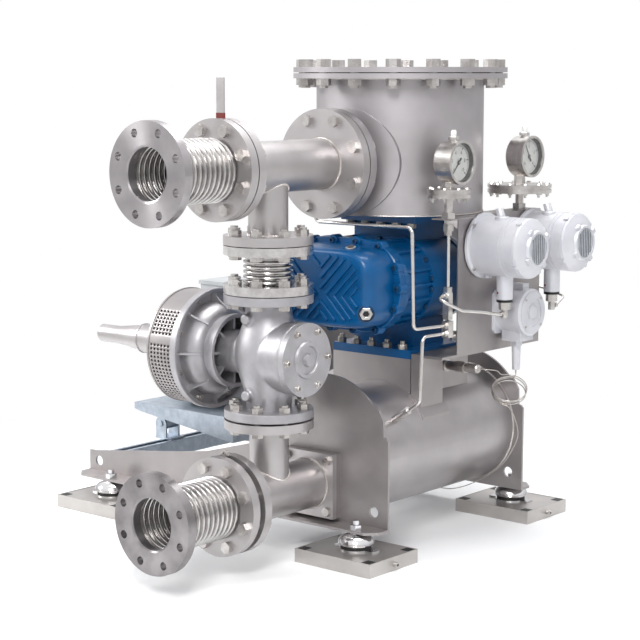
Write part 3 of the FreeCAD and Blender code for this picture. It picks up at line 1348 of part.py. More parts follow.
def make_fittings():
    """Compression fittings, the tee column, the thermowell and the bosses on tank and silencer."""
    x, y = column
    top = fuse([hexagon(22, 16, (x, y, 740 - d.panel_sheet)), rod(7, d.panel_top - d.panel_sheet - 727, (x, y, 727)),
                rod(10, 8, (x, y, d.panel_top - d.panel_sheet - 8))])
    tees = fuse([hexagon(19, 14, (x, y, upper_tee + 5)),
                 box((16, 16, 62), (x - 8, y - 8, upper_tee - 56)),
                 box((19, 19, 38), (x - 9.5, y - 9.5, drain_tee - 10))]
                + [hexagon(13, tee_reach - 0.6, (x, y, z), "-Y") for z in (upper_tee, pump_tee,
                                                                           drain_tee)])
    elbows = [rod(7, 9.7, (d.panel_x + 67, d.transmitter_front_y - 8, sensor_port), "-Y"),
              rod(6, 8, (d.panel_x + 67, d.transmitter_rear_y + 8, sensor_port), "Y")]
    back = rod(9, 26, (d.panel_x - d.panel_sheet, 1090, 576), "-X")
    back_side = rod(6, 8, (190, 1090, 576), "Y")
    side = cut(rod(9, 60, on_silencer(136, 618), Rotation(Vector(0, 0, 1), Vector(
        side_fitting[0], 0, side_fitting[1]))), [rod(d.silencer_radius, 200, (
            d.silencer_x, 560, d.silencer_z), "Y")])
    vessel_boss = cut(rod(9, 52, (-70, 603, 800), "Y"), [nodes["inlet_vessel"]])
    bulb_gland = cut(rod(7, 26, (-14, 950, 77), "X"),
                     [rod(d.silencer_radius, 200, (d.silencer_x, 850, d.silencer_z), "Y")])
    well = turned([(0, 0), (15, 0), (15, 12), (11, 12), (11, 40), (13, 40), (13, 66), (11, 66),
                   (11, 100), (9, 104), (0, 104)], (d.neck_right, 856, 402), "X")
    keep("tube_fittings", group([top, tees, fuse([back, back_side]), side, vessel_boss, bulb_gland,
                                 well] + elbows))


coil_axis = Vector(0.388, -0.46, 0.8).normalize()
coil_outer = 47
coil_wall = 8
coil_height = 24
coil_centre = (251.5, 949, 340)
capillary_d = 2.5


def make_capillary():
    """The thin lead: from the boot and the thermowell into the coil, and on to the lower gland."""
    boot_run = Part.makeCylinder(capillary_d / 2, 18, point(switch_boot_x, d.switch_y, boot_foot - 18),
                                 Vector(0, 0, 1))
    well_run = [(228, 856, 402), (251, 858, 403), (259, 888, 398), (245, 918, 385), (222, 936, 368)]
    low_run = [(270.6, 926.5, 307.7), (283, 931, 278), (289, 938, 240), (270, 943, 203),
               (236, 949, 156), (192, 950, 123), (150, 950, 99), (104, 950, 79), (58, 950, 70),
               (12, 950, 77)]
    keep("capillary_tube", from_shape(Part.makeCompound(
        [boot_run, swept(well_run, capillary_d), swept(low_run, capillary_d)])))
    base = point(*coil_centre) - coil_axis * (coil_height / 2)
    outer = Part.makeCylinder(coil_outer, coil_height, base, coil_axis)
    inner = Part.makeCylinder(coil_outer - coil_wall, coil_height, base, coil_axis)
    keep("capillary_coil", from_shape(outer.cut(inner)))


def make_bolts():
    """Every flange bolt of the package, as separate solids in one node."""
    long_bolt = bolt_shape(16, 2 * d.flange_thick.value + d.line_gasket.value, 24, 10, 13)
    wafer_bolt = bolt_shape(16, 2 * d.flange_thick.value + d.check_thick.value, 24, 10, 13)
    short_bolt = bolt_shape(16, 2 * d.small_thick.value + d.small_gasket.value, 24, 10, 13)
    lid_bolt = bolt_shape(20, 2 * d.vessel_flange_thick.value + 2, 30, 18, 16)
    foot_bolt = bolt_shape(16, 2 * d.small_thick.value + d.bypass_foot_gap.value, 24, 10, 13)
    line_y = line_inner
    rings = []
    rings += ring_of(long_bolt, 8, d.flange_pcd.value, point(0, line_y, d.inlet_height), "Y")
    rings += ring_of(wafer_bolt, 8, d.flange_pcd.value, point(0, line_y, d.outlet_height), "Y")
    rings += ring_of(long_bolt, 8, d.nozzle_flange_pcd.value,
                     point(0, d.nozzle_flange_y, d.inlet_height), "Y")
    upper = d.bypass_top - 2 * d.small_thick - d.small_gasket
    rings += ring_of(short_bolt, 8, d.small_pcd.value, point(0, d.bypass_y, upper), "Z")
    rings += ring_of(short_bolt, 8, d.small_pcd.value,
                     point(0, d.bypass_y, valve_top - d.small_thick), "Z")
    rings += ring_of(foot_bolt, 8, d.small_pcd.value,
                     point(0, d.bypass_y, bypass_foot - d.small_thick), "Z")
    rings += ring_of(lid_bolt, 16, d.vessel_pcd.value,
                     point(0, d.vessel_y, d.vessel_flange_top + 2 + d.vessel_flange_thick), "-Z")
    screw = prism_shape(19, 6, -8, 8).fuse(prism_shape(12, 8, 0, 13.5))
    rings += ring_of(screw, 4, 2 * 59 * math.sqrt(2), point(0, 502, d.outlet_height), "Y")
    keep("flange_bolts", from_shape(Part.makeCompound(rings)))


make_stand()
make_gauges()
make_transmitters()
make_switch()
make_tubing()
make_fittings()
make_capillary()
make_bolts()


def export_all():
    """Check every object and write each sub-part to its own file."""
    doc.recompute()
    for thing in doc.Objects:
        if "Invalid" in thing.State or "Error" in thing.State:
            raise RuntimeError("%s (%s) failed: %s" % (thing.Name, thing.Label, thing.State))
    for label, thing in nodes.items():
        shape = thing.Shape
        if shape.isNull() or not shape.isValid() or not shape.Solids:
            raise RuntimeError("sub-part %s has no valid shape" % label)
    for label, thing in nodes.items():
        thing.Shape.exportStep("parts/%s.step" % label)


export_all()
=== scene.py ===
import math

import bmesh
import bpy
import numpy as np
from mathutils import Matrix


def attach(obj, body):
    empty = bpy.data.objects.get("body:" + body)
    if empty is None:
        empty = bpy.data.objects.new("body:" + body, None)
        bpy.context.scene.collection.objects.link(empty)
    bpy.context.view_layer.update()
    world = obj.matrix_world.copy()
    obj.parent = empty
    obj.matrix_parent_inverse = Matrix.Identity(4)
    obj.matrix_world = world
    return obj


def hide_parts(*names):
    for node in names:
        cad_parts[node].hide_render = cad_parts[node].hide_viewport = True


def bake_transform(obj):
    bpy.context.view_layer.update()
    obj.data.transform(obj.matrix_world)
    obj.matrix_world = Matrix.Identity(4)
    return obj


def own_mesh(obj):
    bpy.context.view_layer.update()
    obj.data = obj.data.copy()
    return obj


# Rotary lobe blower package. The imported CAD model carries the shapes, and this script gives it
# its finishes, thin bellows, castings with soft edges, weld beads, dials, screws and the two
# thin capillary leads. Places are in millimetres: X to the right of the pipes' axis, Y back
# from the faces of the pipe ends, Z up from the floor. SHIFT goes from there to the frame.

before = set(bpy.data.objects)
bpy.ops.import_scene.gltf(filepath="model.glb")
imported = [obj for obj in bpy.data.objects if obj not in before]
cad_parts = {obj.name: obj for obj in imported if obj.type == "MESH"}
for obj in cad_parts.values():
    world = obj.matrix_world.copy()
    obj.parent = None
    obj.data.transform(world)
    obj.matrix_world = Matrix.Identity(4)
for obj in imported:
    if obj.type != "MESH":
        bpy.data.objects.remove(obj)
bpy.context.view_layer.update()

MM = 0.001
SHIFT = (198.0, -595.5, 0.0)
UP = np.array((0.0, 0.0, 1.0))
ALONG_X = np.array((1.0, 0.0, 0.0))
ALONG_Y = np.array((0.0, 1.0, 0.0))

# Camera, fitted to the two round pipe ends: the focal length is in pixels, the angles in degrees
PHOTO_WIDTH = 640
FOCAL_LENGTH = 1772
SENSOR_WIDTH = 36
CAMERA_PLACE = (2599.1, -2529.1, 1092)
CAMERA_DOWN = 7.93
CAMERA_TURN = 40.2

# Light: name, place and target in metres, size of the lamp, power in watts; the floor is in
# metres too, and fades to plain white between two distances from the middle
LAMPS = (("key_lamp", (2.6, -3.6, 3.8), (0.1, 0, 0.5), 1.6, 165),
         ("left_lamp", (-3.8, -2.4, 2.8), (0, 0, 0.6), 1.8, 145),
         ("top_lamp", (0.2, 0.6, 4.0), (0, 0, 0.6), 2.4, 130))
FLOOR_HALF = 14.0
FLOOR_FADE = (0.75, 1.6)

# Pipe lines: a bellows is its outside, bore, length and number of folds
INLET_HEIGHT = 888
OUTLET_HEIGHT = 157
END_FLANGE_BACK = 22
LINE_BELLOWS = (140, 112, 175, 12)
BYPASS_BELLOWS = (112, 86, 66, 6)
FOLD_WALL = 1.6
BYPASS_Y = 370
BYPASS_FLANGE_FOOT = 612
SMALL_FLANGE = (43, 100, 20)
VESSEL_Y = 842
SILENCER_X = 40
SILENCER_HEIGHT = 225
LID_SEAT = 1079.5
VESSEL_FLOOR = 767

# Weld beads lie just outside the pipes and shells: a ring across Y is its Y, radius and height,
# an upright ring its height and radius, and a saddle the radii of the branch and of the tube
TUBE_WELDS = ((244, 58.5, INLET_HEIGHT), (550, 58.5, INLET_HEIGHT), (257, 58.5, OUTLET_HEIGHT),
              (502, 58.5, OUTLET_HEIGHT), (597, 71, INLET_HEIGHT))
BRANCH_WELDS = ((740, 45.6), (309, 45.6))
VESSEL_WELDS = ((LID_SEAT, 199.4, 2.2), (VESSEL_FLOOR, 199.4, 1.6))
SILENCER_WELDS = ((537, 147.4), (1065, 147.4))
BRANCH_SADDLE = (44.9, 57.6)
NOZZLE_SADDLE = (70.4, 199.4)

# Blower and its gear cover: half sizes are width and height
BLOWER_HEIGHT = 607
COVER_FRONT = 545
COVER_SEAT = 634
COVER_BACK = 650
COVER_HALF = (146, 95)
COVER_FLANGE_HALF = (168, 108)
COVER_CORNER = 4.2
COVER_ROLL = 3.2
COVER_LUGS = [(-96, 702), (-30, 708), (38, 708), (104, 700), (152, 655), (160, 607), (150, 560),
              (96, 510), (30, 506), (-38, 506), (-104, 514), (-152, 560), (-160, 607), (-150, 655)]
LUG_FACE = 627
RIB_CENTRE = (4, 592)
RIB_ROWS = 7
RIB_PITCH = 23.5
RIB_REACH = 0.79
RIB_SECTION = [(-4.4, -3), (4.4, -3), (3.2, 4.4), (2.2, 5.2), (-2.2, 5.2), (-3.2, 4.4)]
SIGHT_SEAT = (131.0, 551.5, 556.0)
FILLER_SEAT = (70, 573, 694)
SIDE_PLATE = (664, 766)
SIDE_RIB_ANGLES = (20, 50, 78, 102, 130, 160, 200, 230, 258, 282, 310, 340, 0, 180)
SIDE_SCREW_ANGLES = (8, 35, 62, 90, 118, 145, 172, 188, 215, 242, 270, 298, 325, 352)
CASING_NUT_X = (-92, -46, 0, 46, 92)
UPPER_NUT_Y = (770, 914)
UPPER_NUT_SEAT = 744
LOWER_NUT_Y = (738, 946)
LOWER_NUT_SEAT = 450

# Relief valve
VALVE = np.array((0, BYPASS_Y, 471.5))
VALVE_FLANGES = (-138.5, 118.5)
BONNET_RIBS = 8
GUARD_START = 174
GUARD_DEPTH = 78
GUARD_RADIUS = 130.6
GUARD_SHEET = 1.4
HOLE_PAIRS = 90
HOLE_ROWS = 6
HOLE_PITCH = 10.6
HOLE_SIZE = 6
SPINDLE_BANDS = (322, 388)

# Mounts and trays
MOUNTS = [(x, y) for x in (-644, 156) for y in (488, 1105)]
TRAY_TOP = 31
TRAY_HALF = (108, 86.6)

# Instruments: a gauge is its name, X, Y, height and radius of its seal, and its numbers
PANEL_FACE = 215
GAUGE_HEIGHT = 893
GAUGES = (("left", 232, 724, 812, 50, ("0", "2", "4", "6", "8", "10")),
          ("right", 190, 1072, 805.5, 77.5, ("0", "1", "2", "3", "4")))
TRANSMITTER_HEIGHT = 692
TRANSMITTER_Y = (884, 1085)
NECK_FOOT = 563
SWITCH = np.array((PANEL_FACE, 979, 530.0))
SWITCH_DEPTH = 80

# Capillary leads: diameter in millimetres, lengths in metres
CAPILLARY = 2.5
WELL_LEAD = 0.70
LOW_LEAD = 0.835
COIL_CENTRE = np.array((251.5, 949.0, 340.0))
COIL_AXIS = np.array((0.388, -0.46, 0.8)) / np.linalg.norm((0.388, -0.46, 0.8))


def spot(x, y, z):
    """A place given in millimetres from the zeros above, as metres in the frame."""
    return ((x + SHIFT[0]) * MM, (y + SHIFT[1]) * MM, (z + SHIFT[2]) * MM)


def show(thing):
    """Put an object into the scene."""
    bpy.context.scene.collection.objects.link(thing)
    return thing


def add_camera():
    """The photograph's view: 40 degrees to the right of the pipe ends, 8 degrees down."""
    lens = bpy.data.cameras.new("camera")
    lens.lens = SENSOR_WIDTH * FOCAL_LENGTH / PHOTO_WIDTH
    lens.sensor_width = SENSOR_WIDTH
    lens.clip_end = 50
    seen = show(bpy.data.objects.new("camera", lens))
    seen.location = spot(*CAMERA_PLACE)
    seen.rotation_euler = (math.radians(90 - CAMERA_DOWN), 0, math.radians(CAMERA_TURN))
    bpy.context.scene.camera = seen


def linear(code):
    """An sRGB hex colour as linear red, green, blue and 1."""
    steps = [int(code[place:place + 2], 16) / 255 for place in (1, 3, 5)]
    return [s / 12.92 if s <= 0.04045 else ((s + 0.055) / 1.055) ** 2.4 for s in steps] + [1.0]


def add_node(tree, kind, settings=None, links=None):
    """Add one shader node: settings are its own properties, links its sockets' values or sources."""
    made = tree.nodes.new("ShaderNode" + kind)
    for key, value in (settings or {}).items():
        setattr(made, key, value)
    for key, value in (links or {}).items():
        socket = made.inputs[key]
        if isinstance(value, bpy.types.NodeSocket):
            tree.links.new(value, socket)
        else:
            socket.default_value = value
    return made


def blank_material(name, sockets=None):
    """A material with its shader's constants set: the material, its tree, shader and place."""
    made = bpy.data.materials.new(name)
    made.use_nodes = True
    tree = made.node_tree
    tree.nodes.clear()
    shader = add_node(tree, "BsdfPrincipled", None, sockets)
    add_node(tree, "OutputMaterial", None, {"Surface": shader.outputs[0]})
    return made, tree, shader, add_node(tree, "TexCoord").outputs["Object"]


def grain(tree, place, size_mm, detail=3.0, stretch=(1, 1, 1)):
    """Noise whose largest grain is about size_mm across, stretched along an axis if asked."""
    mapped = add_node(tree, "Mapping", None, {"Vector": place, "Scale": stretch}).outputs[0]
    return add_node(tree, "TexNoise", None, {"Vector": mapped, "Scale": 1 / (size_mm * MM),
                                             "Detail": detail, "Roughness": 0.55}).outputs["Fac"]


def lay_finish(tree, shader, cloud, stops, gloss, roughness, skin, depth_mm, strength):
    """What every finish has: clouds between two colours, an uneven gloss and a raised skin.

    Stops are two pairs of a cloud's value and its colour, and the colour runs straight from
    one to the other. The gloss pattern spreads the roughness over its two values.
    """
    (low, shade), (high, colour) = stops
    share = add_node(tree, "MapRange", None, {"Value": cloud, "From Min": low, "From Max": high})
    tint = add_node(tree, "Mix", {"data_type": "RGBA"},
                    {0: share.outputs[0], 6: linear(shade), 7: linear(colour)})
    spread = add_node(tree, "MapRange", None, {"Value": gloss, "To Min": roughness[0],
                                               "To Max": roughness[1]})
    raised = add_node(tree, "Bump", None, {"Height": skin, "Distance": depth_mm * MM,
                                           "Strength": strength})
    tree.links.new(tint.outputs[2], shader.inputs["Base Color"])
    tree.links.new(spread.outputs[0], shader.inputs["Roughness"])
    tree.links.new(raised.outputs[0], shader.inputs["Normal"])


def blasted_stainless(name, colour, shade, roughness, metallic=0.86):
    """Glass-bead blasted 316 sheet and pipe: fine even grain, soft broad highlights, faint clouds."""
    made, tree, shader, place = blank_material(name, {"Metallic": metallic})
    cloud = grain(tree, place, 120)
    lay_finish(tree, shader, cloud, ((0.3, shade), (0.7, colour)), cloud,
               (roughness - 0.05, roughness + 0.07), grain(tree, place, 1.6, 2), 0.05, 0.5)
    return made


def bright_drawn_steel(name, colour, roughness, metallic=0.95):
    """Bright drawn or pressed stainless: smooth, with faint lines and clear reflections."""
    made, tree, shader, place = blank_material(name, {"Metallic": metallic})
    lines = grain(tree, place, 1.2, 2, (1, 1, 6))
    lay_finish(tree, shader, grain(tree, place, 30), ((0.35, colour), (0.8, "#dcdad8")), lines,
               (roughness - 0.06, roughness + 0.08), lines, 0.02, 0.4)
    return made


def turned_steel(name, colour, roughness, centre, pale="#b9b5b6"):
    """Lathe-turned flange steel: rings 1.2 mm apart, whose grooves spread the light across them.

    The rings are a triangle wave of the distance from the turning axis, and drawn coarser than
    the tool's real feed, so that they show.
    """
    made, tree, shader, place = blank_material(name, {
        "Metallic": 0.95, "Anisotropic": 0.85, "Anisotropic Rotation": 0.25})
    arm = add_node(tree, "VectorMath", {"operation": "SUBTRACT"}, {0: place, 1: centre}).outputs[0]
    groove = add_node(tree, "VectorMath", {"operation": "CROSS_PRODUCT"},
                      {0: arm, 1: tuple(ALONG_Y)}).outputs[0]
    tree.links.new(groove, shader.inputs["Tangent"])
    reach = add_node(tree, "VectorMath", {"operation": "LENGTH"}, {0: groove}).outputs["Value"]
    half_pitch = 0.6 * MM
    wave = add_node(tree, "Math", {"operation": "PINGPONG"}, {0: reach, 1: half_pitch}).outputs[0]
    rings = add_node(tree, "Math", {"operation": "DIVIDE"}, {0: wave, 1: half_pitch}).outputs[0]
    lay_finish(tree, shader, grain(tree, place, 60), ((0.3, colour), (0.75, pale)), rings,
               (roughness - 0.03, roughness + 0.05), rings, 0.02, 0.25)
    return made


def cast_stainless(name, colour, shade, roughness):
    """Shot-blasted stainless casting: matt, with a sandy skin about 2 mm in grain."""
    made, tree, shader, place = blank_material(name, {"Metallic": 0.7})
    skin = grain(tree, place, 2.2, 5)
    lay_finish(tree, shader, grain(tree, place, 45), ((0.3, shade), (0.7, colour)), skin,
               (roughness - 0.05, roughness + 0.1), skin, 0.25, 0.55)
    return made


def machine_enamel(name, colour, shade, roughness, skin_mm=1.8, metallic=0.0):
    """Two-coat machine enamel over a casting: glossy film that follows a faint cast skin."""
    made, tree, shader, place = blank_material(name, {
        "Metallic": metallic, "Coat Weight": 0.25, "Coat Roughness": 0.2, "Specular IOR Level": 0.3})
    skin = grain(tree, place, skin_mm, 4)
    lay_finish(tree, shader, grain(tree, place, 80), ((0.3, shade), (0.7, colour)), skin,
               (roughness - 0.06, roughness + 0.08), skin, 0.18, 0.5)
    return made


def zinc_plate(name, colour, shade):
    """Passivated zinc on folded steel: a pale plate with soft crystal clouds."""
    made, tree, shader, place = blank_material(name, {"Metallic": 0.8})
    cloud = grain(tree, place, 18, 4)
    lay_finish(tree, shader, cloud, ((0.35, shade), (0.68, colour)), cloud, (0.32, 0.45),
               cloud, 0.03, 0.3)
    return made


def moulded(name, colour, shade, roughness):
    """Rubber, fibre gasket or moulded plastic: no metal, a fine even skin, slightly dusty."""
    made, tree, shader, place = blank_material(name)
    skin = grain(tree, place, 0.9)
    lay_finish(tree, shader, grain(tree, place, 25), ((0.3, shade), (0.7, colour)), skin,
               (roughness - 0.05, roughness + 0.08), skin, 0.05, 0.4)
    return made


def window_glass(name):
    """Float glass over a dial: clear, hardly tinted, with a faint smear in its polish."""
    made, tree, shader, place = blank_material(name, {
        "Transmission Weight": 1.0, "IOR": 1.45, "Base Color": linear("#ffffff")})
    smear = add_node(tree, "MapRange", None, {"Value": grain(tree, place, 20), "To Min": 0.01,
                                              "To Max": 0.05})
    tree.links.new(smear.outputs[0], shader.inputs["Roughness"])
    return made


FINISHES = {
    "pipe": blasted_stainless("bead_blasted_stainless_pipe", "#c0bcbc", "#afabab", 0.37),
    "vessel": blasted_stainless("bead_blasted_stainless_vessel", "#b8b4b6", "#a9a5a7", 0.42),
    "silencer": blasted_stainless("bead_blasted_stainless_silencer", "#b4b0b1", "#a29e9f", 0.34),
    "sheet": blasted_stainless("pickled_stainless_sheet", "#aca7a6", "#9c9797", 0.4),
    "tray": blasted_stainless("brushed_stainless_tray", "#c6c2bf", "#b3afab", 0.33),
    "bellows": bright_drawn_steel("pressed_stainless_bellows", "#bcb9b8", 0.2),
    "bright": bright_drawn_steel("bright_stainless_fastener", "#b6b1ad", 0.27),
    "tube": bright_drawn_steel("bright_stainless_tube", "#cbc7c3", 0.2),
    "capillary": bright_drawn_steel("bright_capillary_tube", "#b4ada6", 0.32),
    "chrome": bright_drawn_steel("bright_chromed_steel", "#cfcfd2", 0.12, 1.0),
    "weld": bright_drawn_steel("pickled_weld_bead", "#bdb6b1", 0.36, 0.85),
    "inlet_flange": turned_steel("turned_stainless_inlet_flange", "#a4a0a2", 0.3,
                                 spot(0, 0, INLET_HEIGHT)),
    # The outlet flange is the inlet flange's turned steel in darker colours: painted shade.
    "outlet_flange": turned_steel("turned_stainless_outlet_flange_painted_shade", "#7d797a", 0.3,
                                  spot(0, 0, OUTLET_HEIGHT), "#a39fa0"),
    "rotor": turned_steel("ground_rotor_steel", "#9b9793", 0.28, spot(0, VESSEL_Y, BLOWER_HEIGHT)),
    "casting": cast_stainless("shot_blasted_stainless_casting", "#b5b3b6", "#a4a2a5", 0.4),
    "blue": machine_enamel("blue_machine_enamel", "#02558c", "#01497b", 0.3),
    # The blue enamel again in darker colours: painted shade in the sight glass's recess and on screw
    # heads.
    "blue_painted_shade": machine_enamel("blue_enamel_painted_shade", "#053c63", "#04304f", 0.35),
    "grey": machine_enamel("light_grey_machine_enamel", "#b6b8ba", "#a6a9ab", 0.38),
    "silver": machine_enamel("silver_stoving_enamel", "#d4d4d8", "#c6c6cc", 0.36, 1.1, 0.25),
    "zinc": zinc_plate("blue_passivated_zinc", "#c3ccd6", "#aab4c0"),
    "zinc_nut": zinc_plate("zinc_plated_nut", "#b5b1ab", "#96928d"),
    "rubber": moulded("black_nitrile_rubber", "#1c1b1b", "#131313", 0.6),
    "gasket": moulded("grey_fibre_gasket", "#5c5a58", "#4b4947", 0.7),
    "black": moulded("black_moulded_plastic", "#151515", "#0e0e0e", 0.45),
    "dial": moulded("white_printed_dial", "#f1f2ee", "#e9ebe7", 0.5),
    "nipple": moulded("white_nylon_nipple", "#eeeeea", "#dededa", 0.4),
    "red": moulded("dark_red_sealing_lacquer", "#7c2a22", "#631d17", 0.4),
    "ink": moulded("black_dial_print", "#191919", "#101010", 0.5),
    "window": moulded("etched_window_glass", "#b9bdc3", "#a3a7ad", 0.12),
    "glass": window_glass("float_glass_window"),
}

NODE_FINISH = {
    "inlet_flange": ["inlet_end_flange"],
    "outlet_flange": ["outlet_end_flange"],
    "pipe": ["inlet_tee", "discharge_tee", "bellows_inner_flanges", "inlet_strainer", "spindle_tube"],
    "vessel": ["inlet_vessel", "vessel_lid"],
    "silencer": ["silencer_shell"],
    "sheet": ["front_end_plate", "rear_end_plate", "silencer_neck", "instrument_panel",
              "belt_guard"],
    "tray": ["foot_trays"],
    "bellows": ["inlet_bellows", "outlet_bellows", "bypass_bellows", "spring_guard"],
    "bright": ["flange_bolts", "tube_fittings", "check_valve_body", "check_valve_flap",
               "pressure_gauges"],
    "tube": ["impulse_tubes", "capillary_tube", "capillary_coil"],
    "chrome": ["mount_metalwork"],
    "casting": ["valve_body", "valve_cover", "valve_bonnet"],
    "rotor": ["drive_rotor", "driven_rotor", "drive_gear", "driven_gear", "blower_pulley",
              "motor_pulley", "rotor_bearings", "valve_spindle", "valve_spring", "motor_rotor"],
    "blue": ["gear_cover", "gear_side_plate", "drive_side_plate", "blower_casing"],
    "grey": ["motor_housing", "fan_cowl"],
    "silver": ["transmitters", "temperature_switch"],
    "zinc": ["frame_rails", "motor_plate", "motor_supports"],
    "rubber": ["mount_rubbers", "drive_belts"],
    "gasket": ["lid_gasket"],
    "black": ["pointer_left", "pointer_right", "motor_fan"],
    "glass": ["sight_glass"],
}


def paint_frame():
    """Give every CAD node its finish."""
    for finish, names in NODE_FINISH.items():
        for name in names:
            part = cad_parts[name]
            part.data.materials.clear()
            part.data.materials.append(FINISHES[finish])


def add_world():
    """White to the eye; reflections see a studio that darkens from its ceiling to its walls."""
    world = bpy.data.worlds.new("studio")
    world.use_nodes = True
    bpy.context.scene.world = world
    tree = world.node_tree
    tree.nodes.clear()
    rays = add_node(tree, "LightPath")
    way = add_node(tree, "TexCoord").outputs["Generated"]
    height = add_node(tree, "SeparateXYZ", None, {0: way}).outputs["Z"]
    studio = add_node(tree, "MapRange", {"interpolation_type": "SMOOTHSTEP"},
                      {"Value": height, "From Min": -0.1, "From Max": 0.75,
                       "To Min": 0.62, "To Max": 1.25}).outputs[0]
    soft = add_node(tree, "Background", None, {"Color": linear("#e3e6ea"), "Strength": 0.62})
    mirrored = add_node(tree, "Background", None, {"Color": linear("#fbfbfd"), "Strength": studio})
    white = add_node(tree, "Background", None, {"Color": (1, 1, 1, 1), "Strength": 1.0})
    lit = add_node(tree, "MixShader", None, {0: rays.outputs["Is Glossy Ray"], 1: soft.outputs[0],
                                             2: mirrored.outputs[0]})
    seen = add_node(tree, "Math", {"operation": "MAXIMUM"},
                    {0: rays.outputs["Is Camera Ray"], 1: rays.outputs["Is Transmission Ray"]})
    mixed = add_node(tree, "MixShader", None, {0: seen.outputs[0], 1: lit.outputs[0],
                                               2: white.outputs[0]})
    add_node(tree, "OutputWorld", None, {"Surface": mixed.outputs[0]})


def add_lamp(name, place, target, size, power):
    """A soft square lamp at a place in metres, turned to a target."""
    lamp = bpy.data.lights.new(name, "AREA")
    lamp.shape = "SQUARE"
    lamp.size = size
    lamp.energy = power
    hung = show(bpy.data.objects.new(name, lamp))
    hung.location = place
    way = np.subtract(target, place)
    hung.rotation_euler = (math.atan2(math.hypot(way[0], way[1]), -way[2]), 0,
                           math.atan2(way[0], -way[1]) + math.pi)


def add_floor():
    """A matt white floor: it takes the object's shadow, and turns to plain white further out."""
    half = FLOOR_HALF
    mesh = bpy.data.meshes.new("floor")
    mesh.from_pydata([(-half, -half, 0), (half, -half, 0), (half, half, 0), (-half, half, 0)], [],
                     [(0, 1, 2, 3)])
    floor = show(bpy.data.objects.new("floor", mesh))
    made, tree, shader, place = blank_material("matt_white_floor", {
        "Base Color": linear("#fafafa"), "Roughness": 0.9, "Specular IOR Level": 0.1})
    reach = add_node(tree, "VectorMath", {"operation": "LENGTH"}, {0: place}).outputs["Value"]
    far = add_node(tree, "MapRange", {"interpolation_type": "SMOOTHSTEP"},
                   {"Value": reach, "From Min": FLOOR_FADE[0], "From Max": FLOOR_FADE[1]}).outputs[0]
    rays = add_node(tree, "LightPath")
    seen = add_node(tree, "Math", {"operation": "MAXIMUM"},
                    {0: rays.outputs["Is Camera Ray"], 1: rays.outputs["Is Glossy Ray"]})
    share = add_node(tree, "Math", {"operation": "MULTIPLY"}, {0: far, 1: seen.outputs[0]})
    white = add_node(tree, "Emission", None, {"Color": (1, 1, 1, 1), "Strength": 1.0})
    mixed = add_node(tree, "MixShader", None, {0: share.outputs[0], 1: shader.outputs[0],
                                               2: white.outputs[0]})
    output = next(node for node in tree.nodes if node.type == "OUTPUT_MATERIAL")
    tree.links.new(mixed.outputs[0], output.inputs["Surface"])
    mesh.materials.append(made)


def unit(way):
    """A direction, or each of an array of them, at length 1."""
    way = np.asarray(way, float)
    return way / np.linalg.norm(way, axis=-1, keepdims=True)


def across_x(degrees):
    """A direction square to X, at an angle from Y towards the top."""
    angle = math.radians(degrees)
    return np.array((0, math.cos(angle), math.sin(angle)))


def patch(points, close_rows=False, close_columns=False, kept=None):
    """Quads between a grid of points (rows, columns, 3); kept leaves some quads out."""
    rows, columns = points.shape[:2]
    row, column = np.meshgrid(np.arange(rows - (not close_rows)),
                              np.arange(columns - (not close_columns)), indexing="ij")
    below, right = (row + 1) % rows, (column + 1) % columns
    quads = np.stack([row * columns + column, below * columns + column,
                      below * columns + right, row * columns + right], -1)
    return points.reshape(-1, 3), quads.reshape(-1, 4) if kept is None else quads[kept]


def spokes(axis, angle):
    """Directions at angles round an axis, the first of them level where the axis isn't upright."""
    axis = unit(axis)
    across = unit(np.cross(axis, UP if abs(axis[2]) < 0.9 else ALONG_X))
    return np.cos(angle)[:, None] * across + np.sin(angle)[:, None] * np.cross(axis, across)


def lathe(outline, centre, axis, sides=64, ring=False, turn=0.0):
    """Turn an outline of (radius, height) pairs round an axis; a ring's outline closes on itself."""
    outline = np.asarray(outline, float)
    around = spokes(axis, turn + np.arange(sides) * 2 * math.pi / sides)
    points = (np.asarray(centre, float) + outline[None, :, 1, None] * unit(axis)
              + outline[None, :, 0, None] * around[:, None, :])
    return patch(points, True, ring)


def rod(radius, top, bottom=0):
    """Outline of a plain round rod."""
    return [(0, bottom), (radius, bottom), (radius, top), (0, top)]


def collar(inner, outer, height):
    """Outline of a plain ring."""
    return [(inner, 0), (outer, 0), (outer, height), (inner, height)]


def strip(half_width, low, high, top=None):
    """Section of a bar, narrower at its top if a half width is given for it."""
    top = half_width if top is None else top
    return [(-half_width, low), (half_width, low), (top, high), (-top, high)]


def carried(path, section, up):
    """Carry a closed section of (sideways, upward) pairs along a path, and draw both ends shut."""
    path = np.asarray(path, float)
    section = np.asarray(section, float)
    ahead = unit(np.gradient(path, axis=0))
    side = unit(np.cross(ahead, up))
    over = np.cross(side, ahead)
    points = (path[:, None] + section[None, :, :1] * side[:, None]
              + section[None, :, 1:] * over[:, None])
    ends = np.repeat(path[[0, -1], None], len(section), axis=1)
    return patch(np.concatenate([ends[:1], points, ends[1:]]), False, True)


def block(centre, half):
    """A thin block from its centre and half sizes, as one closed carried section."""
    centre = np.asarray(centre, float)
    wide, deep, tall = half
    return carried([centre - deep * ALONG_Y, centre + deep * ALONG_Y], strip(wide, -tall, tall), UP)


def bead(path, size, up, pitch=1.1):
    """A weld bead round a closed path: a tube that swells by a sixth at each laid drop."""
    path = np.asarray(path, float)
    ahead = unit(np.roll(path, -1, axis=0) - np.roll(path, 1, axis=0))
    side = unit(np.cross(ahead, up))
    over = np.cross(side, ahead)
    length = np.linalg.norm(np.roll(path, -1, axis=0) - path, axis=1).sum()
    drops = round(length / (size * pitch))
    swell = size * (1 + 0.16 * np.cos(np.arange(len(path)) * 2 * math.pi * drops / len(path)))
    angle = np.arange(8) * math.pi / 4
    points = path[:, None] + swell[:, None, None] * (
        np.cos(angle)[None, :, None] * side[:, None] + np.sin(angle)[None, :, None] * over[:, None])
    return patch(points, True, True)


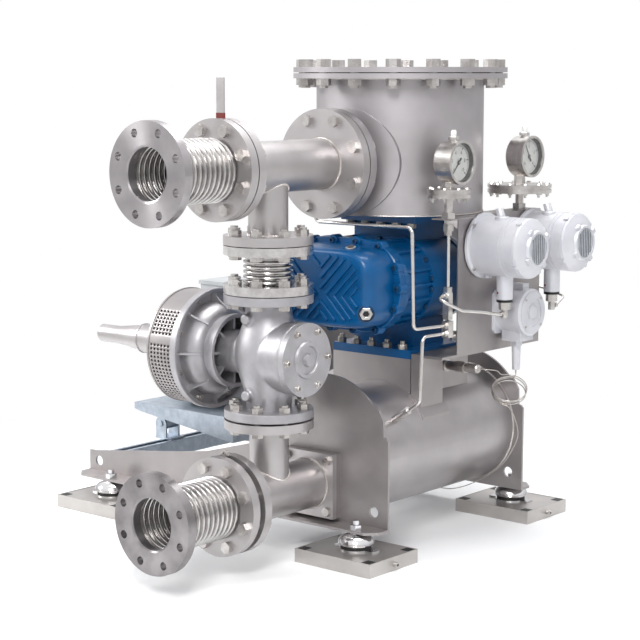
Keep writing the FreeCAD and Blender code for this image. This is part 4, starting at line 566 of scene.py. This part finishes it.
def circle(radius, centre, axis, count=360):
    """Points round a circle."""
    return centre + radius * spokes(axis, np.arange(count) * 2 * math.pi / count)


def round_places(count, radius, centre, axis, first=0.0):
    """Evenly spaced places on a circle, the first of them a share of a pitch further on."""
    return circle(radius, np.asarray(centre, float), axis, count * 24)[int(first * 24)::24]


def screw_heads(places, axis, radius, height, hexagonal=True):
    """Screw heads on their seats: six-sided with a chamfer, or round with a socket."""
    if hexagonal:
        outline = [(0, 0), (radius, 0), (radius, height * 0.8), (radius * 0.86, height), (0, height)]
        return [lathe(outline, place, axis, 6, turn=0.3 * number) for number, place in enumerate(places)]
    outline = [(0, 0), (radius, 0), (radius, height * 0.85), (radius * 0.9, height),
               (radius * 0.55, height), (radius * 0.5, height * 0.35), (0, height * 0.35)]
    return [lathe(outline, place, axis, 20) for place in places]


def piece(name, patches, finish, body, stands_for=(), flat=False):
    """One object from patches in millimetres, its doubles merged and its faces turned outwards.

    Flat print keeps the way its faces were drawn; a piece with no body is attached to none.
    """
    places, faces, count = [], [], 0
    for points, quads in patches:
        places.append(points)
        faces += [tuple(dict.fromkeys(face)) for face in (quads + count).tolist()]
        count += len(points)
    mesh = bpy.data.meshes.new(name)
    mesh.from_pydata(((np.vstack(places) + SHIFT) * MM).tolist(), [], faces)
    work = bmesh.new()
    work.from_mesh(mesh)
    bmesh.ops.remove_doubles(work, verts=work.verts, dist=0.01 * MM)
    bmesh.ops.dissolve_degenerate(work, edges=work.edges, dist=0.001 * MM)
    if not flat:
        bmesh.ops.recalc_face_normals(work, faces=work.faces)
    work.to_mesh(mesh)
    work.free()
    mesh.shade_smooth()
    mesh.set_sharp_from_angle(angle=math.radians(35))
    mesh.materials.append(FINISHES[finish])
    made = show(bpy.data.objects.new(name, mesh))
    if body:
        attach(made, body)
    if stands_for:
        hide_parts(*stands_for)
    return made


def lead_curve(name, points, diameter):
    """A round lead along a NURBS curve whose control points are the route's points."""
    curve = bpy.data.curves.new(name, "CURVE")
    curve.dimensions = "3D"
    curve.bevel_depth = diameter / 2
    curve.bevel_resolution = 3
    curve.resolution_u = 6
    curve.use_fill_caps = True
    line = curve.splines.new("NURBS")
    line.points.add(len(points) - 1)
    flat = np.ones((len(points), 4))
    flat[:, :3] = points
    line.points.foreach_set("co", flat.ravel())
    line.order_u = 3
    line.use_endpoint_u = True
    return show(bpy.data.objects.new(name, curve))


def coil_turns(start_angle, turns, radius, low, high):
    """Points of a helix round the coil's axis, 12 to a turn, from one height to the other.

    The radius breathes a little, so the turns fan out as hand-wound wire does.
    """
    across = unit(np.cross(COIL_AXIS, UP))
    upward = np.cross(across, COIL_AXIS)
    count = int(abs(turns) * 12)
    angle = math.radians(start_angle) + np.sign(turns) * np.arange(count + 1) * 2 * math.pi / 12
    height = np.linspace(low, high, count + 1)
    reach = radius + 1.6 * np.sin(angle * 0.37)
    return (COIL_CENTRE + COIL_AXIS * height[:, None]
            + (np.cos(angle) * reach)[:, None] * across + (np.sin(angle) * reach)[:, None] * upward)


def add_capillaries():
    """Two thin leads from the switch's boot: each winds round the coil and goes on to its bulb."""
    well_lead = np.vstack([
        [(249, 979, 390), (249, 980, 380), (246, 983, 372)], coil_turns(100, -2.1, 43, 2, 11),
        [(245, 918, 385), (259, 888, 398), (251, 858, 403), (228, 856, 402)]])
    low_lead = np.vstack([
        [(251, 979, 390), (251.5, 978, 380), (251, 972, 368)], coil_turns(92, -1.5, 42.5, -1, -9),
        [(283, 931, 278), (289, 938, 240), (270, 943, 203), (236, 949, 156), (192, 950, 123),
         (150, 950, 99), (104, 950, 79), (58, 950, 70), (12, 950, 77)]])
    for name, route, length, stands_for in (("well_lead", well_lead, WELL_LEAD, "capillary_coil"),
                                            ("low_lead", low_lead, LOW_LEAD, "capillary_tube")):
        points = [spot(*place) for place in route]
        lead = lead_curve(name, points, CAPILLARY * MM)
        lead.data.materials.append(FINISHES["capillary"])
        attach(lead, "package")
        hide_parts(stands_for)


def folds(outer, bore, length, waves, start, axis):
    """Pressed bellows: the wall's radius follows a squared-off sine along the axis."""
    steps = np.linspace(0, 1, waves * 16 + 1)
    lean = np.sin((steps * waves - 0.25) * 2 * math.pi)
    shape = np.tanh(2.2 * lean) / math.tanh(2.2)
    middle, swing = (outer + bore) / 4, (outer - bore) / 4 - FOLD_WALL / 2
    radius = middle + swing * shape
    along = steps * length
    slope = np.gradient(radius, along)
    shift = FOLD_WALL / 2 / np.sqrt(1 + slope ** 2)
    outside = np.stack([radius + shift, along - slope * shift], 1)
    inside = np.stack([radius - shift, along + slope * shift], 1)
    outline = np.vstack([outside, inside[::-1]])
    outline[:, 1] = np.clip(outline[:, 1], 0, length)
    return lathe(outline, start, axis, 72, True)


def add_bellows():
    """The three expansion joints, with as many thin folds as the real ones."""
    for side, height in (("inlet", INLET_HEIGHT), ("outlet", OUTLET_HEIGHT)):
        skin = folds(*LINE_BELLOWS, (0, END_FLANGE_BACK, height), ALONG_Y)
        made = piece(side + "_bellows_folds", [skin], "bellows", None,
                     (side + "_bellows",))
        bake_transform(made)
    foot = BYPASS_FLANGE_FOOT + SMALL_FLANGE[2]
    rims = [lathe(collar(*SMALL_FLANGE), (0, BYPASS_Y, low), UP, 96, True)
            for low in (BYPASS_FLANGE_FOOT, foot + BYPASS_BELLOWS[2])]
    piece("bypass_folds", [folds(*BYPASS_BELLOWS, (0, BYPASS_Y, foot), UP)] + rims, "bellows",
          "package", ("bypass_bellows",))


def rounded_box(angle, half_width, half_height):
    """Superellipse, whose power sets how square the cover's corners are."""
    cosine, sine = np.cos(angle), np.sin(angle)
    return (half_width * np.sign(cosine) * np.abs(cosine) ** (2 / COVER_CORNER),
            half_height * np.sign(sine) * np.abs(sine) ** (2 / COVER_CORNER))


def oval_rim(angle, half_width, half_height):
    """Racetrack outline as two half circles and the straights between them, by angle."""
    flat = half_width - half_height
    x = half_height * np.cos(angle)
    return x + flat * np.tanh(8 * np.cos(angle)), half_height * np.sin(angle)


def stacked(outline, steps, half):
    """A form along the blower's depth: an outline at each (share of its half sizes, Y)."""
    angle = np.linspace(0, 2 * math.pi, 144, endpoint=False)
    rows = []
    for share, y in steps:
        x, z = outline(angle, half[0] * share, half[1] * share)
        rows.append(np.stack([x, np.full_like(x, y), z + BLOWER_HEIGHT], 1))
    return patch(np.array(rows), False, True)


def cover_ribs():
    """Cast ribs on the cover's face: nested chevrons that point at a centre from four sides.

    Each arm is a straight line at 45 degrees, cut where it leaves the face's superellipse.
    """
    ribs = []
    for number in range(RIB_ROWS):
        gap = RIB_PITCH * (number + 0.62)
        for way in np.array([(1, 0), (-1, 0), (0, 1), (0, -1)], float):
            for side in (-1, 1):
                arm = unit(way + side * np.array((-way[1], way[0])))
                places = RIB_CENTRE + way * gap + np.linspace(0, 150, 151)[:, None] * arm
                offset = np.abs(places - (0, BLOWER_HEIGHT)) / (np.array(COVER_HALF) * RIB_REACH)
                inside = (offset ** COVER_CORNER).sum(1) < 1
                bare = number < 2 and way[1] > 0 and side > 0
                if not inside[0] or inside.sum() < 9 or bare:
                    continue
                places = places[inside][::4]
                ribs.append(carried(np.column_stack([places[:, 0], np.full(len(places), COVER_FRONT),
                                                     places[:, 1]]), RIB_SECTION, -ALONG_Y))
    return ribs


def add_gear_cover():
    """Gear cover: a rounded dome that narrows to its front face, on an oval bolting flange.

    The dome's section is a superellipse, and its size along the depth follows a quarter
    of a steep superellipse, so the edge of the front face rolls over in one curve.
    """
    turn = np.linspace(0, math.pi / 2, 16)
    share = 0.8 + 0.2 * np.sin(turn) ** (2 / COVER_ROLL)
    depth = COVER_SEAT - (COVER_SEAT - COVER_FRONT) * np.cos(turn) ** (2 / COVER_ROLL)
    dome = [(0, COVER_FRONT), (0.45, COVER_FRONT), *zip(share, depth), (0, COVER_SEAT)]
    flange = ((0, COVER_SEAT - 1), (0.985, COVER_SEAT - 1), (1, COVER_SEAT + 1), (1, COVER_BACK - 1),
              (0.985, COVER_BACK), (0, COVER_BACK))
    lugs = [(x, LUG_FACE, z) for x, z in COVER_LUGS]
    patches = [stacked(rounded_box, dome, COVER_HALF), stacked(oval_rim, flange, COVER_FLANGE_HALF)]
    patches += [lathe([(0, 0), (12, 0), (13, 2), (13, 24), (0, 24)], place, ALONG_Y, 28)
                for place in lugs]
    piece("gear_cover_dome", patches + cover_ribs(), "blue", "package", ("gear_cover",))
    # Screw heads in the darker blue: painted shade.
    piece("gear_cover_screws", screw_heads(lugs, -ALONG_Y, 7, 5, False), "blue_painted_shade", "package")


def add_cover_fittings():
    """Sight glass in its sunk ring, and the oval filler boss with its plug."""
    look = unit((0.72, -0.69, -0.05))
    recess = lathe([(0, -12), (19, -12), (20, 0.5), (17.5, 1.2), (16.5, -3), (0, -3)], SIGHT_SEAT,
                   look, 40)
    # The sunk ring in the darker blue: painted shade.
    piece("sight_recess", [recess], "blue_painted_shade", "package")
    ring = lathe([(7, -4), (15.6, -4), (15.6, 3.2), (14.4, 4.6), (8.6, 4.6), (7, 3)], SIGHT_SEAT, look,
                 6, True)
    piece("sight_ring", [ring], "bright", "package")
    lens = lathe([(0, -4), (7.4, -4), (7.4, 1.4), (0, 2.2)], SIGHT_SEAT, look, 32)
    piece("sight_lens", [lens], "black", "package", ("sight_glass",))
    lift = unit((0.1, -0.35, 1))
    boss = lathe([(0, -16), (26, -16), (23, 3), (20, 6), (0, 6)], FILLER_SEAT, lift, 48)
    piece("filler_boss", [boss], "blue", "package")
    plug = lathe([(0, 0), (12, 0), (12, 3), (10.5, 4), (0, 4)], FILLER_SEAT + 6 * lift, lift, 6)
    piece("filler_plug", [plug], "bright", "package")


def saddle(radii, centre, across, outward):
    """Where a branch meets a wider tube: a circle that dips outward as the tube's round falls.

    At x across the tube, the round stands at the root of its radius squared less x squared.
    """
    branch, tube = radii
    angle = np.arange(520)[:, None] * 2 * math.pi / 520
    x = branch * np.cos(angle)
    return (centre + x * ALONG_X + branch * np.sin(angle) * across
            + np.sqrt(tube ** 2 - x ** 2) * outward)


def add_welds():
    """Weld beads where tube meets flange, branch meets pipe and shell meets end plate."""
    rings = [bead(circle(radius, (0, y, height), ALONG_Y, 520), 2.2, ALONG_Y)
             for y, radius, height in TUBE_WELDS]
    rings += [bead(circle(radius, (0, BYPASS_Y, height), UP, 440), 2.0, UP)
              for height, radius in BRANCH_WELDS]
    rings += [bead(saddle(BRANCH_SADDLE, (0, BYPASS_Y, height), ALONG_Y, outward), 2.4, UP)
              for height, outward in ((INLET_HEIGHT, -UP), (OUTLET_HEIGHT, UP))]
    rings.append(bead(saddle(NOZZLE_SADDLE, (0, VESSEL_Y, INLET_HEIGHT), UP, -ALONG_Y), 2.4, ALONG_Y))
    rings += [bead(circle(radius, (0, VESSEL_Y, height), UP, 900), size, UP)
              for height, radius, size in VESSEL_WELDS]
    piece("pipe_welds", rings, "weld", "package")
    ends = [bead(circle(radius, (SILENCER_X, y, SILENCER_HEIGHT), ALONG_Y, 800), 2.6, ALONG_Y)
            for y, radius in SILENCER_WELDS]
    piece("silencer_welds", ends, "weld", "package")


def cast_in_one(made, grain_mm, passes):
    """Blend a piece's crossing bodies into one casting: remesh them, then soften the meeting lines."""
    skin = made.modifiers.new("one_skin", "REMESH")
    skin.mode = "VOXEL"
    skin.voxel_size = grain_mm * MM
    soft = made.modifiers.new("fillets", "SMOOTH")
    soft.factor = 0.5
    soft.iterations = passes
    bpy.context.view_layer.update()
    joined = made.evaluated_get(bpy.context.evaluated_depsgraph_get())
    mesh = bpy.data.meshes.new_from_object(joined)
    made.modifiers.clear()
    made.data = mesh
    mesh.shade_smooth()


def add_valve_body():
    """Relief valve body: an upright barrel whose radius swells as a squared cosine, and a side drum."""
    height = np.linspace(-1, 1, 33)
    barrel = np.column_stack([51 + 23 * np.cos(height * math.pi / 2) ** 2, height * 114])
    patches = [lathe(np.vstack([[(0, -124), (51, -124)], barrel, [(51, 124), (0, 124)]]), VALVE, UP, 96),
               lathe([(0, 0), (66, 0), (72, 40), (81.5, 84), (81.5, 98.5), (0, 98.5)], VALVE, ALONG_X, 96),
               lathe([(0, 0), (57, 0), (52, 60), (49, 78), (49, 130), (0, 130)], VALVE, -ALONG_X, 96)]
    for height in (-86, 85):
        patches.append(lathe([(0, 0), (12.5, 0), (12.5, 30), (10.5, 32), (0, 32)],
                             VALVE + (-12, -36, height), -ALONG_Y, 28))
    body = piece("relief_valve_body", patches, "casting", "package", ("valve_body",))
    cast_in_one(body, 2.4, 10)
    rim = [(40, 0), (99, 0), (100, 1), (100, 19), (99, 20), (40, 20)]
    piece("relief_valve_flanges", [lathe(rim, VALVE + low * UP, UP, 96, True) for low in VALVE_FLANGES],
          "casting", "package")


def add_valve_bonnet():
    """Bonnet: a neck ring round a deep recess, a hub whose shoulder is a quarter round, a rim."""
    shoulder = np.linspace(0, math.pi / 2, 9)
    hub = np.column_stack([80 + 26 * np.sin(shoulder), 124 + 44 * (1 - np.cos(shoulder))])
    neck = [(75, 96), (82, 96), (83.5, 97.5), (83.5, 108), (82, 110), (80, 112)]
    ring = [(108, 172), (127, 172), (127, 160), (129, 157.5), (136, 157.5), (137.5, 159), (137.5, 174),
            (136, 176), (48, 176), (48, 150), (72, 150), (74, 98)]
    patches = [lathe(np.vstack([neck, hub, ring]), VALVE, -ALONG_X, 128, True)]
    for number in range(BONNET_RIBS):
        way = across_x(number * 360 / BONNET_RIBS)
        rib = [VALVE + reach * way - depth * ALONG_X
               for reach, depth in ((131, 166), (116, 164), (104, 152), (96, 138), (87, 125))]
        patches.append(carried(rib, strip(2.8, -12, 7, 2), way + ALONG_X))
        web = VALVE - 122 * ALONG_X
        patches.append(carried([web + 48 * way, web + 74 * way], strip(3, -24, 18), ALONG_X))
    piece("relief_valve_bonnet", patches, "casting", "package", ("valve_bonnet",))


def add_spring_guard():
    """Perforated spring guard: a rolled sheet with square holes in four fields, and a back plate."""
    pitch = 2 * math.pi / HOLE_PAIRS
    starts = np.arange(HOLE_PAIRS)
    angle = np.sort(np.concatenate([starts * pitch, (starts + 0.6) * pitch]))
    holes = np.arange(HOLE_ROWS) * HOLE_PITCH + 9
    along = np.concatenate([[0, 4], np.sort(np.concatenate([holes, holes + HOLE_SIZE])),
                            [GUARD_DEPTH - 4, GUARD_DEPTH]])
    ring = np.stack([np.zeros(len(angle)), np.cos(angle), np.sin(angle)], 1)
    points = VALVE - (GUARD_START + along)[:, None, None] * ALONG_X + GUARD_RADIUS * ring[None]
    row, column = np.meshgrid(np.arange(len(along) - 1), np.arange(len(angle)), indexing="ij")
    lift = np.degrees(np.arcsin(np.sin(angle[column])))
    field = ((lift > 20) & (lift < 48)) | ((lift > -62) & (lift < 8))
    hole = (row % 2 == 0) & (row > 1) & (row < len(along) - 3) & (column % 2 == 0) & field
    guard = piece("spring_guard_mesh", [patch(points, False, True, ~hole)], "sheet", "package",
                  ("spring_guard",))
    skin = guard.modifiers.new("sheet", "SOLIDIFY")
    skin.thickness = GUARD_SHEET * MM
    skin.offset = -1
    back = lathe([(34.6, 0), (129, 0), (130.6, -1.6), (130.6, -5), (132, -5), (132, 0), (130, 2),
                  (34.6, 2)], VALVE - (GUARD_START + GUARD_DEPTH) * ALONG_X, -ALONG_X, 96, True)
    piece("spring_guard_back", [back], "sheet", "package")


def add_spindle_tube():
    """Spindle tube: it tapers in two steps to a closed tip, and two bands are turned on it."""
    tube = lathe([(30, 178), (34, 178), (34, 396), (32.5, 399), (29.5, 402), (28.5, 418), (22, 470),
                  (21, 474), (21, 535), (19.5, 537), (0, 537), (0, 530), (18.4, 530), (18.4, 474),
                  (26, 410), (30, 396)], VALVE, -ALONG_X, 64, True)
    band = [(34, 0), (35.2, 0.6), (35.2, 5.4), (34, 6), (33, 3)]
    bands = [lathe(band, VALVE - place * ALONG_X, -ALONG_X, 64, True) for place in SPINDLE_BANDS]
    piece("spindle_tube_turned", [tube] + bands, "pipe", "package", ("spindle_tube",))


def add_valve_screws():
    """Socket screws on washers round the cover and the bonnet's outer ring."""
    thick = 1.6
    cover = round_places(6, 68, VALVE + 112.4 * ALONG_X, ALONG_X)
    bonnet = round_places(BONNET_RIBS, 118.5, VALVE - 172 * ALONG_X, ALONG_X, 0.5)
    heads = []
    for places in (cover, bonnet):
        heads += [lathe(rod(8.6, thick), place, ALONG_X, 28) for place in places]
        heads += screw_heads(places + thick * ALONG_X, ALONG_X, 6.4, 6.5, False)
    piece("valve_screws", heads, "bright", "package")


def digits(text, size, centre):
    """A number as flat mesh, to read on a dial that faces +X: its points and its triangles."""
    curve = bpy.data.curves.new("number", "FONT")
    curve.body = text
    curve.size = size
    curve.align_x, curve.align_y = "CENTER", "CENTER"
    holder = bpy.data.objects.new("number", curve)
    mesh = bpy.data.meshes.new_from_object(holder)
    flat = np.empty(len(mesh.vertices) * 3)
    mesh.vertices.foreach_get("co", flat)
    flat = flat.reshape(-1, 3)
    mesh.calc_loop_triangles()
    triangles = np.empty(len(mesh.loop_triangles) * 3, int)
    mesh.loop_triangles.foreach_get("vertices", triangles)
    triangles = triangles.reshape(-1, 3)
    bpy.data.objects.remove(holder)
    bpy.data.curves.remove(curve)
    bpy.data.meshes.remove(mesh)
    points = np.asarray(centre, float) + flat[:, :1] * ALONG_Y + flat[:, 1:2] * UP
    return points, np.column_stack([triangles, triangles[:, :1]])


def dial_marks(face, numbers):
    """Ten tick marks from number to number, over three quarters of a turn, and the numbers."""
    marks = []
    last = (len(numbers) - 1) * 10
    for step in range(last + 1):
        way = across_x(225 - 270 * step / last)
        inner, wide = (31.5, 0.9) if step % 10 == 0 else (35.5, 0.35)
        middle = face + 0.75 * ALONG_X
        marks.append(carried([middle + way * inner, middle + way * 39.5], strip(wide, -0.2, 0.2),
                             ALONG_X))
        if step % 10 == 0:
            marks.append(digits(numbers[step // 10], 11, face + 0.8 * ALONG_X + way * 24))
    return marks


def add_dials():
    """White dials with tick marks and plain numbers, behind flat glass; a black ring inside each bezel is
    painted shadow.
    """
    for name, x, y, _, _, numbers in GAUGES:
        face = np.array((x + 24.1, y, GAUGE_HEIGHT))
        plate = lathe(collar(4.4, 43.6, 0.5), face, ALONG_X, 72, True)
        piece("dial_plate_" + name, [plate], "dial", "package")
        piece("dial_marks_" + name, dial_marks(face, numbers), "ink", "package",
              flat=True)
        glass = lathe(rod(43.8, 1.8), face + 10.2 * ALONG_X, ALONG_X, 72)
        piece("dial_glass_" + name, [glass], "glass", "package")
        # A black ring just inside the bezel: painted shadow.
        shade = lathe([(41.4, 0.5), (43.9, 0.5), (43.9, 9.5), (42.6, 9.5)], face, ALONG_X, 72, True)
        piece("dial_painted_shadow_ring_" + name, [shade], "black", "package")


def add_gauge_fittings():
    """Hexagon collars and vent nipples on the gauges, their necks, and the bolts of both seals."""
    metal, nipples = [], []
    for _, x, y, low, seal, _ in GAUGES:
        crown = np.array((x + 12, y, GAUGE_HEIGHT + 50), float)
        metal.append(lathe([(0, 0), (11.5, 0), (12.5, 1), (12.5, 7), (11.5, 8), (0, 8)], crown, UP, 6))
        metal.append(lathe(rod(13.5, 24), (x, y, low + 20.5), UP, 6))
        nipples.append(lathe([(0, 0), (6.5, 0), (6.5, 11), (5, 15), (3, 16), (0, 16)], crown + 7 * UP,
                             UP, 20))
        for place in round_places(12 if seal > 60 else 8, seal - 8, (x, y, low), UP, 0.5):
            metal.append(lathe([(0, 0), (5.4, 0), (5.4, 26), (4.8, 27), (0, 27)], place - 3 * UP, UP, 6))
            metal.append(lathe(rod(3, 9), place - 9 * UP, UP, 12))
    piece("gauge_fittings", metal, "bright", "package")
    piece("vent_nipples", nipples, "nipple", "package")


def transmitter_case(centre):
    """Turned housing with scored joints, a conical cap, four lugs on each, and its three stubs."""
    parts = [lathe([(0, 2), (76, 2), (77, 3), (77, 9), (75, 11), (70.5, 12), (70, 90), (68.6, 90.6),
                    (68.6, 92.4), (70, 93), (70, 101), (68.6, 101.6), (68.6, 103.4), (70, 104),
                    (70, 129), (68.5, 130), (68.5, 131.5), (70, 132), (69, 136), (50, 149), (44, 151),
                    (41, 157), (36, 157), (35, 152), (0, 152)], centre, ALONG_X, 96)]
    for number in range(4):
        way = across_x(35 + 90 * number)
        side = np.cross(ALONG_X, way)
        cap = centre + 147 * ALONG_X
        edge = centre + 70 * way + 128 * ALONG_X
        parts.append(carried([cap + 33 * way, cap + 41 * way, cap + 51 * way], strip(9, -5, 9.5, 6),
                             ALONG_X))
        parts.append(carried([edge - 4 * side, edge + 4 * side], strip(7, -2, 4, 6), way))
    seat = centre + (64, -14, 64)
    parts.append(lathe([(0, -10), (19, -10), (17, 6), (14, 8), (0, 8)], seat, UP, 32))
    parts.append(lathe([(0, 0), (9.4, 0), (9.4, 26), (8, 28), (0, 28)], seat, (-0.28, -0.1, 1), 24))
    parts.append(lathe(rod(9, 76, 62), centre + 16 * ALONG_X, -UP, 20))
    return parts


def window_bars(centre):
    """Seven upright bars across a round window."""
    bars = []
    for shift in np.arange(-3, 4) * 7.5:
        half = math.sqrt(33 ** 2 - shift ** 2)
        middle = centre + 156 * ALONG_X + shift * ALONG_Y
        bars.append(carried([middle - half * UP, middle + half * UP], strip(0.35, -0.6, 0.3), ALONG_X))
    return bars


def add_transmitters():
    """Two transmitters: each a housing on the panel, a barred window, a neck and its gland."""
    bodies, windows, dark, screws, marks = [], [], [], [], []
    for y in TRANSMITTER_Y:
        centre = np.array((PANEL_FACE, y, TRANSMITTER_HEIGHT), float)
        neck = (PANEL_FACE + 64, y, NECK_FOOT)
        bodies += transmitter_case(centre)
        bodies.append(lathe([(0, 6), (18.5, 6), (19.5, 8), (19.5, 72), (22, 78), (24, 96), (0, 96)],
                            neck, UP, 48))
        windows.append(lathe([(0, 0), (34.6, 0), (34.6, 2.4), (0, 3)], centre + 152.5 * ALONG_X,
                             ALONG_X, 48))
        dark.append(lathe(rod(19, 6), neck, UP, 48))
        dark += window_bars(centre)
        screws += [lathe(rod(8, -18, -38), neck, UP, 24),
                   lathe([(0, -18), (13, -18), (14, -17), (14, -1), (13, 0), (0, 0)], neck, UP, 6)]
        screws += screw_heads(round_places(4, 73.2, centre + 11 * ALONG_X, ALONG_X, 0.5), ALONG_X,
                              4.2, 4, False)
        marks.append(lathe(rod(2.6, 1), (PANEL_FACE + 57, y - 18.7, NECK_FOOT + 22), (-0.3, -1, 0), 20))
    piece("transmitter_housings", bodies, "silver", "package", ("transmitters",))
    piece("transmitter_windows", windows, "window", "package")
    piece("transmitter_seals", dark, "black", "package")
    piece("transmitter_fittings", screws, "bright", "package")
    piece("transmitter_marks", marks, "red", "package")


def add_switch_details():
    """Raised rings and cover screws on the temperature switch."""
    face = SWITCH + SWITCH_DEPTH * ALONG_X
    rims = [lathe(collar(34, 50, 2), face, ALONG_X, 72, True),
            lathe(collar(17, 20, 3), face, ALONG_X, 48, True)]
    piece("switch_rim", rims, "silver", "package")
    screws = screw_heads(round_places(4, 45, face + 2 * ALONG_X, ALONG_X, 0.5), ALONG_X, 3, 2, False)
    piece("switch_screws", screws, "bright", "package")


def soft_copy(name, new_name):
    """A copy of a CAD node's own surface in its place, with the node hidden."""
    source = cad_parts[name]
    bpy.context.view_layer.update()
    mesh = source.data.copy()
    mesh.transform(source.matrix_world)
    made = show(bpy.data.objects.new(new_name, mesh))
    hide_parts(name)
    return made


def add_yielding_parts():
    """Copies of the spring, that shortens as the valve lifts, and of the belts of the swinging motor."""
    spring = soft_copy("valve_spring", "relief_spring")
    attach(spring, "package")
    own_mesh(spring)
    belts = soft_copy("drive_belts", "drive_belts_run")
    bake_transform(belts)


def add_mount_details():
    """Pressed domes over the machine mounts, and the red tag at the strainer's handle."""
    domes = [lathe([(0, 0), (40.5, 0), (41.5, 2), (39, 9), (32, 15.5), (20, 20), (0, 20.5)],
                   (x, y, 47.5), UP, 48) for x, y in MOUNTS]
    piece("mount_domes", domes, "chrome", "package")
    piece("strainer_tag", [block((0, 220.5, 1001), (11.6, 2.2, 8))], "red", "package")


def add_tray_details():
    """Lifting openings at the trays' corners, black with painted shade; folded rims; locking screws."""
    dark, rims, screws = [], [], []
    middle = TRAY_TOP - 15
    long_half, deep_half = TRAY_HALF
    for x, y in MOUNTS:
        for side_x in (-1, 1):
            for side_y in (-1, 1):
                # Black patches for the openings: painted shade.
                dark.append(block((x + side_x * 92, y + side_y * 70, TRAY_TOP + 0.2), (11, 12, 0.3)))
        rims += [block((x + side * (long_half - 1.4), y, middle), (1.3, deep_half, 15.8))
                 for side in (-1, 1)]
        rims += [block((x, y + side * (deep_half - 1.5), middle), (long_half, 1.3, 15.8))
                 for side in (-1, 1)]
        screws += screw_heads([(x + long_half, y, 15)], ALONG_X, 6, 11, False)
    piece("tray_openings_painted_shade", dark, "black", "package")
    piece("tray_rims", rims, "tray", "package")
    piece("tray_screws", screws, "bright", "package")


def add_casing_nuts():
    """Nuts of the blower's top and bottom bolting flanges, and the studs of the bottom one."""
    nuts = []
    for x in CASING_NUT_X:
        for y in UPPER_NUT_Y:
            nuts += screw_heads([(x, y, UPPER_NUT_SEAT)], -UP, 11, 12)
        for y in LOWER_NUT_Y:
            seat = (x, y, LOWER_NUT_SEAT)
            nuts += screw_heads([seat], UP, 11, 12)
            nuts.append(lathe([(0, 0), (6, 0), (6, 19), (5, 20), (0, 20)], seat, UP, 16))
    piece("casing_nuts", nuts, "zinc_nut", "package")


def add_side_plate_details():
    """Cast ribs along the gear-side plate's rim, and the screws on its back face."""
    front, back = SIDE_PLATE
    ribs = []
    for turn in np.radians(SIDE_RIB_ANGLES):
        x, z = oval_rim(turn, 152, 96)
        ribs.append(carried([(x, front, BLOWER_HEIGHT + z), (x, back, BLOWER_HEIGHT + z)],
                            strip(4, -4, 7, 3), unit((x, 0, z * 1.6))))
    piece("side_plate_ribs", ribs, "blue", "package")
    studs = []
    for turn in np.radians(SIDE_SCREW_ANGLES):
        x, z = oval_rim(turn, 156, 97)
        studs += screw_heads([(x, back, BLOWER_HEIGHT + z)], -ALONG_Y, 7, 6)
    # Screw heads in the darker blue: painted shade.
    piece("side_plate_screws", studs, "blue_painted_shade", "package")


bpy.context.scene.view_settings.view_transform = "Standard"
add_camera()
add_world()
for lamp_values in LAMPS:
    add_lamp(*lamp_values)
add_floor()
paint_frame()
add_capillaries()
add_bellows()
add_gear_cover()
add_cover_fittings()
add_welds()
add_valve_body()
add_valve_bonnet()
add_spring_guard()
add_spindle_tube()
add_valve_screws()
add_dials()
add_gauge_fittings()
add_yielding_parts()
add_mount_details()
add_transmitters()
add_switch_details()
add_tray_details()
add_casing_nuts()
add_side_plate_details()
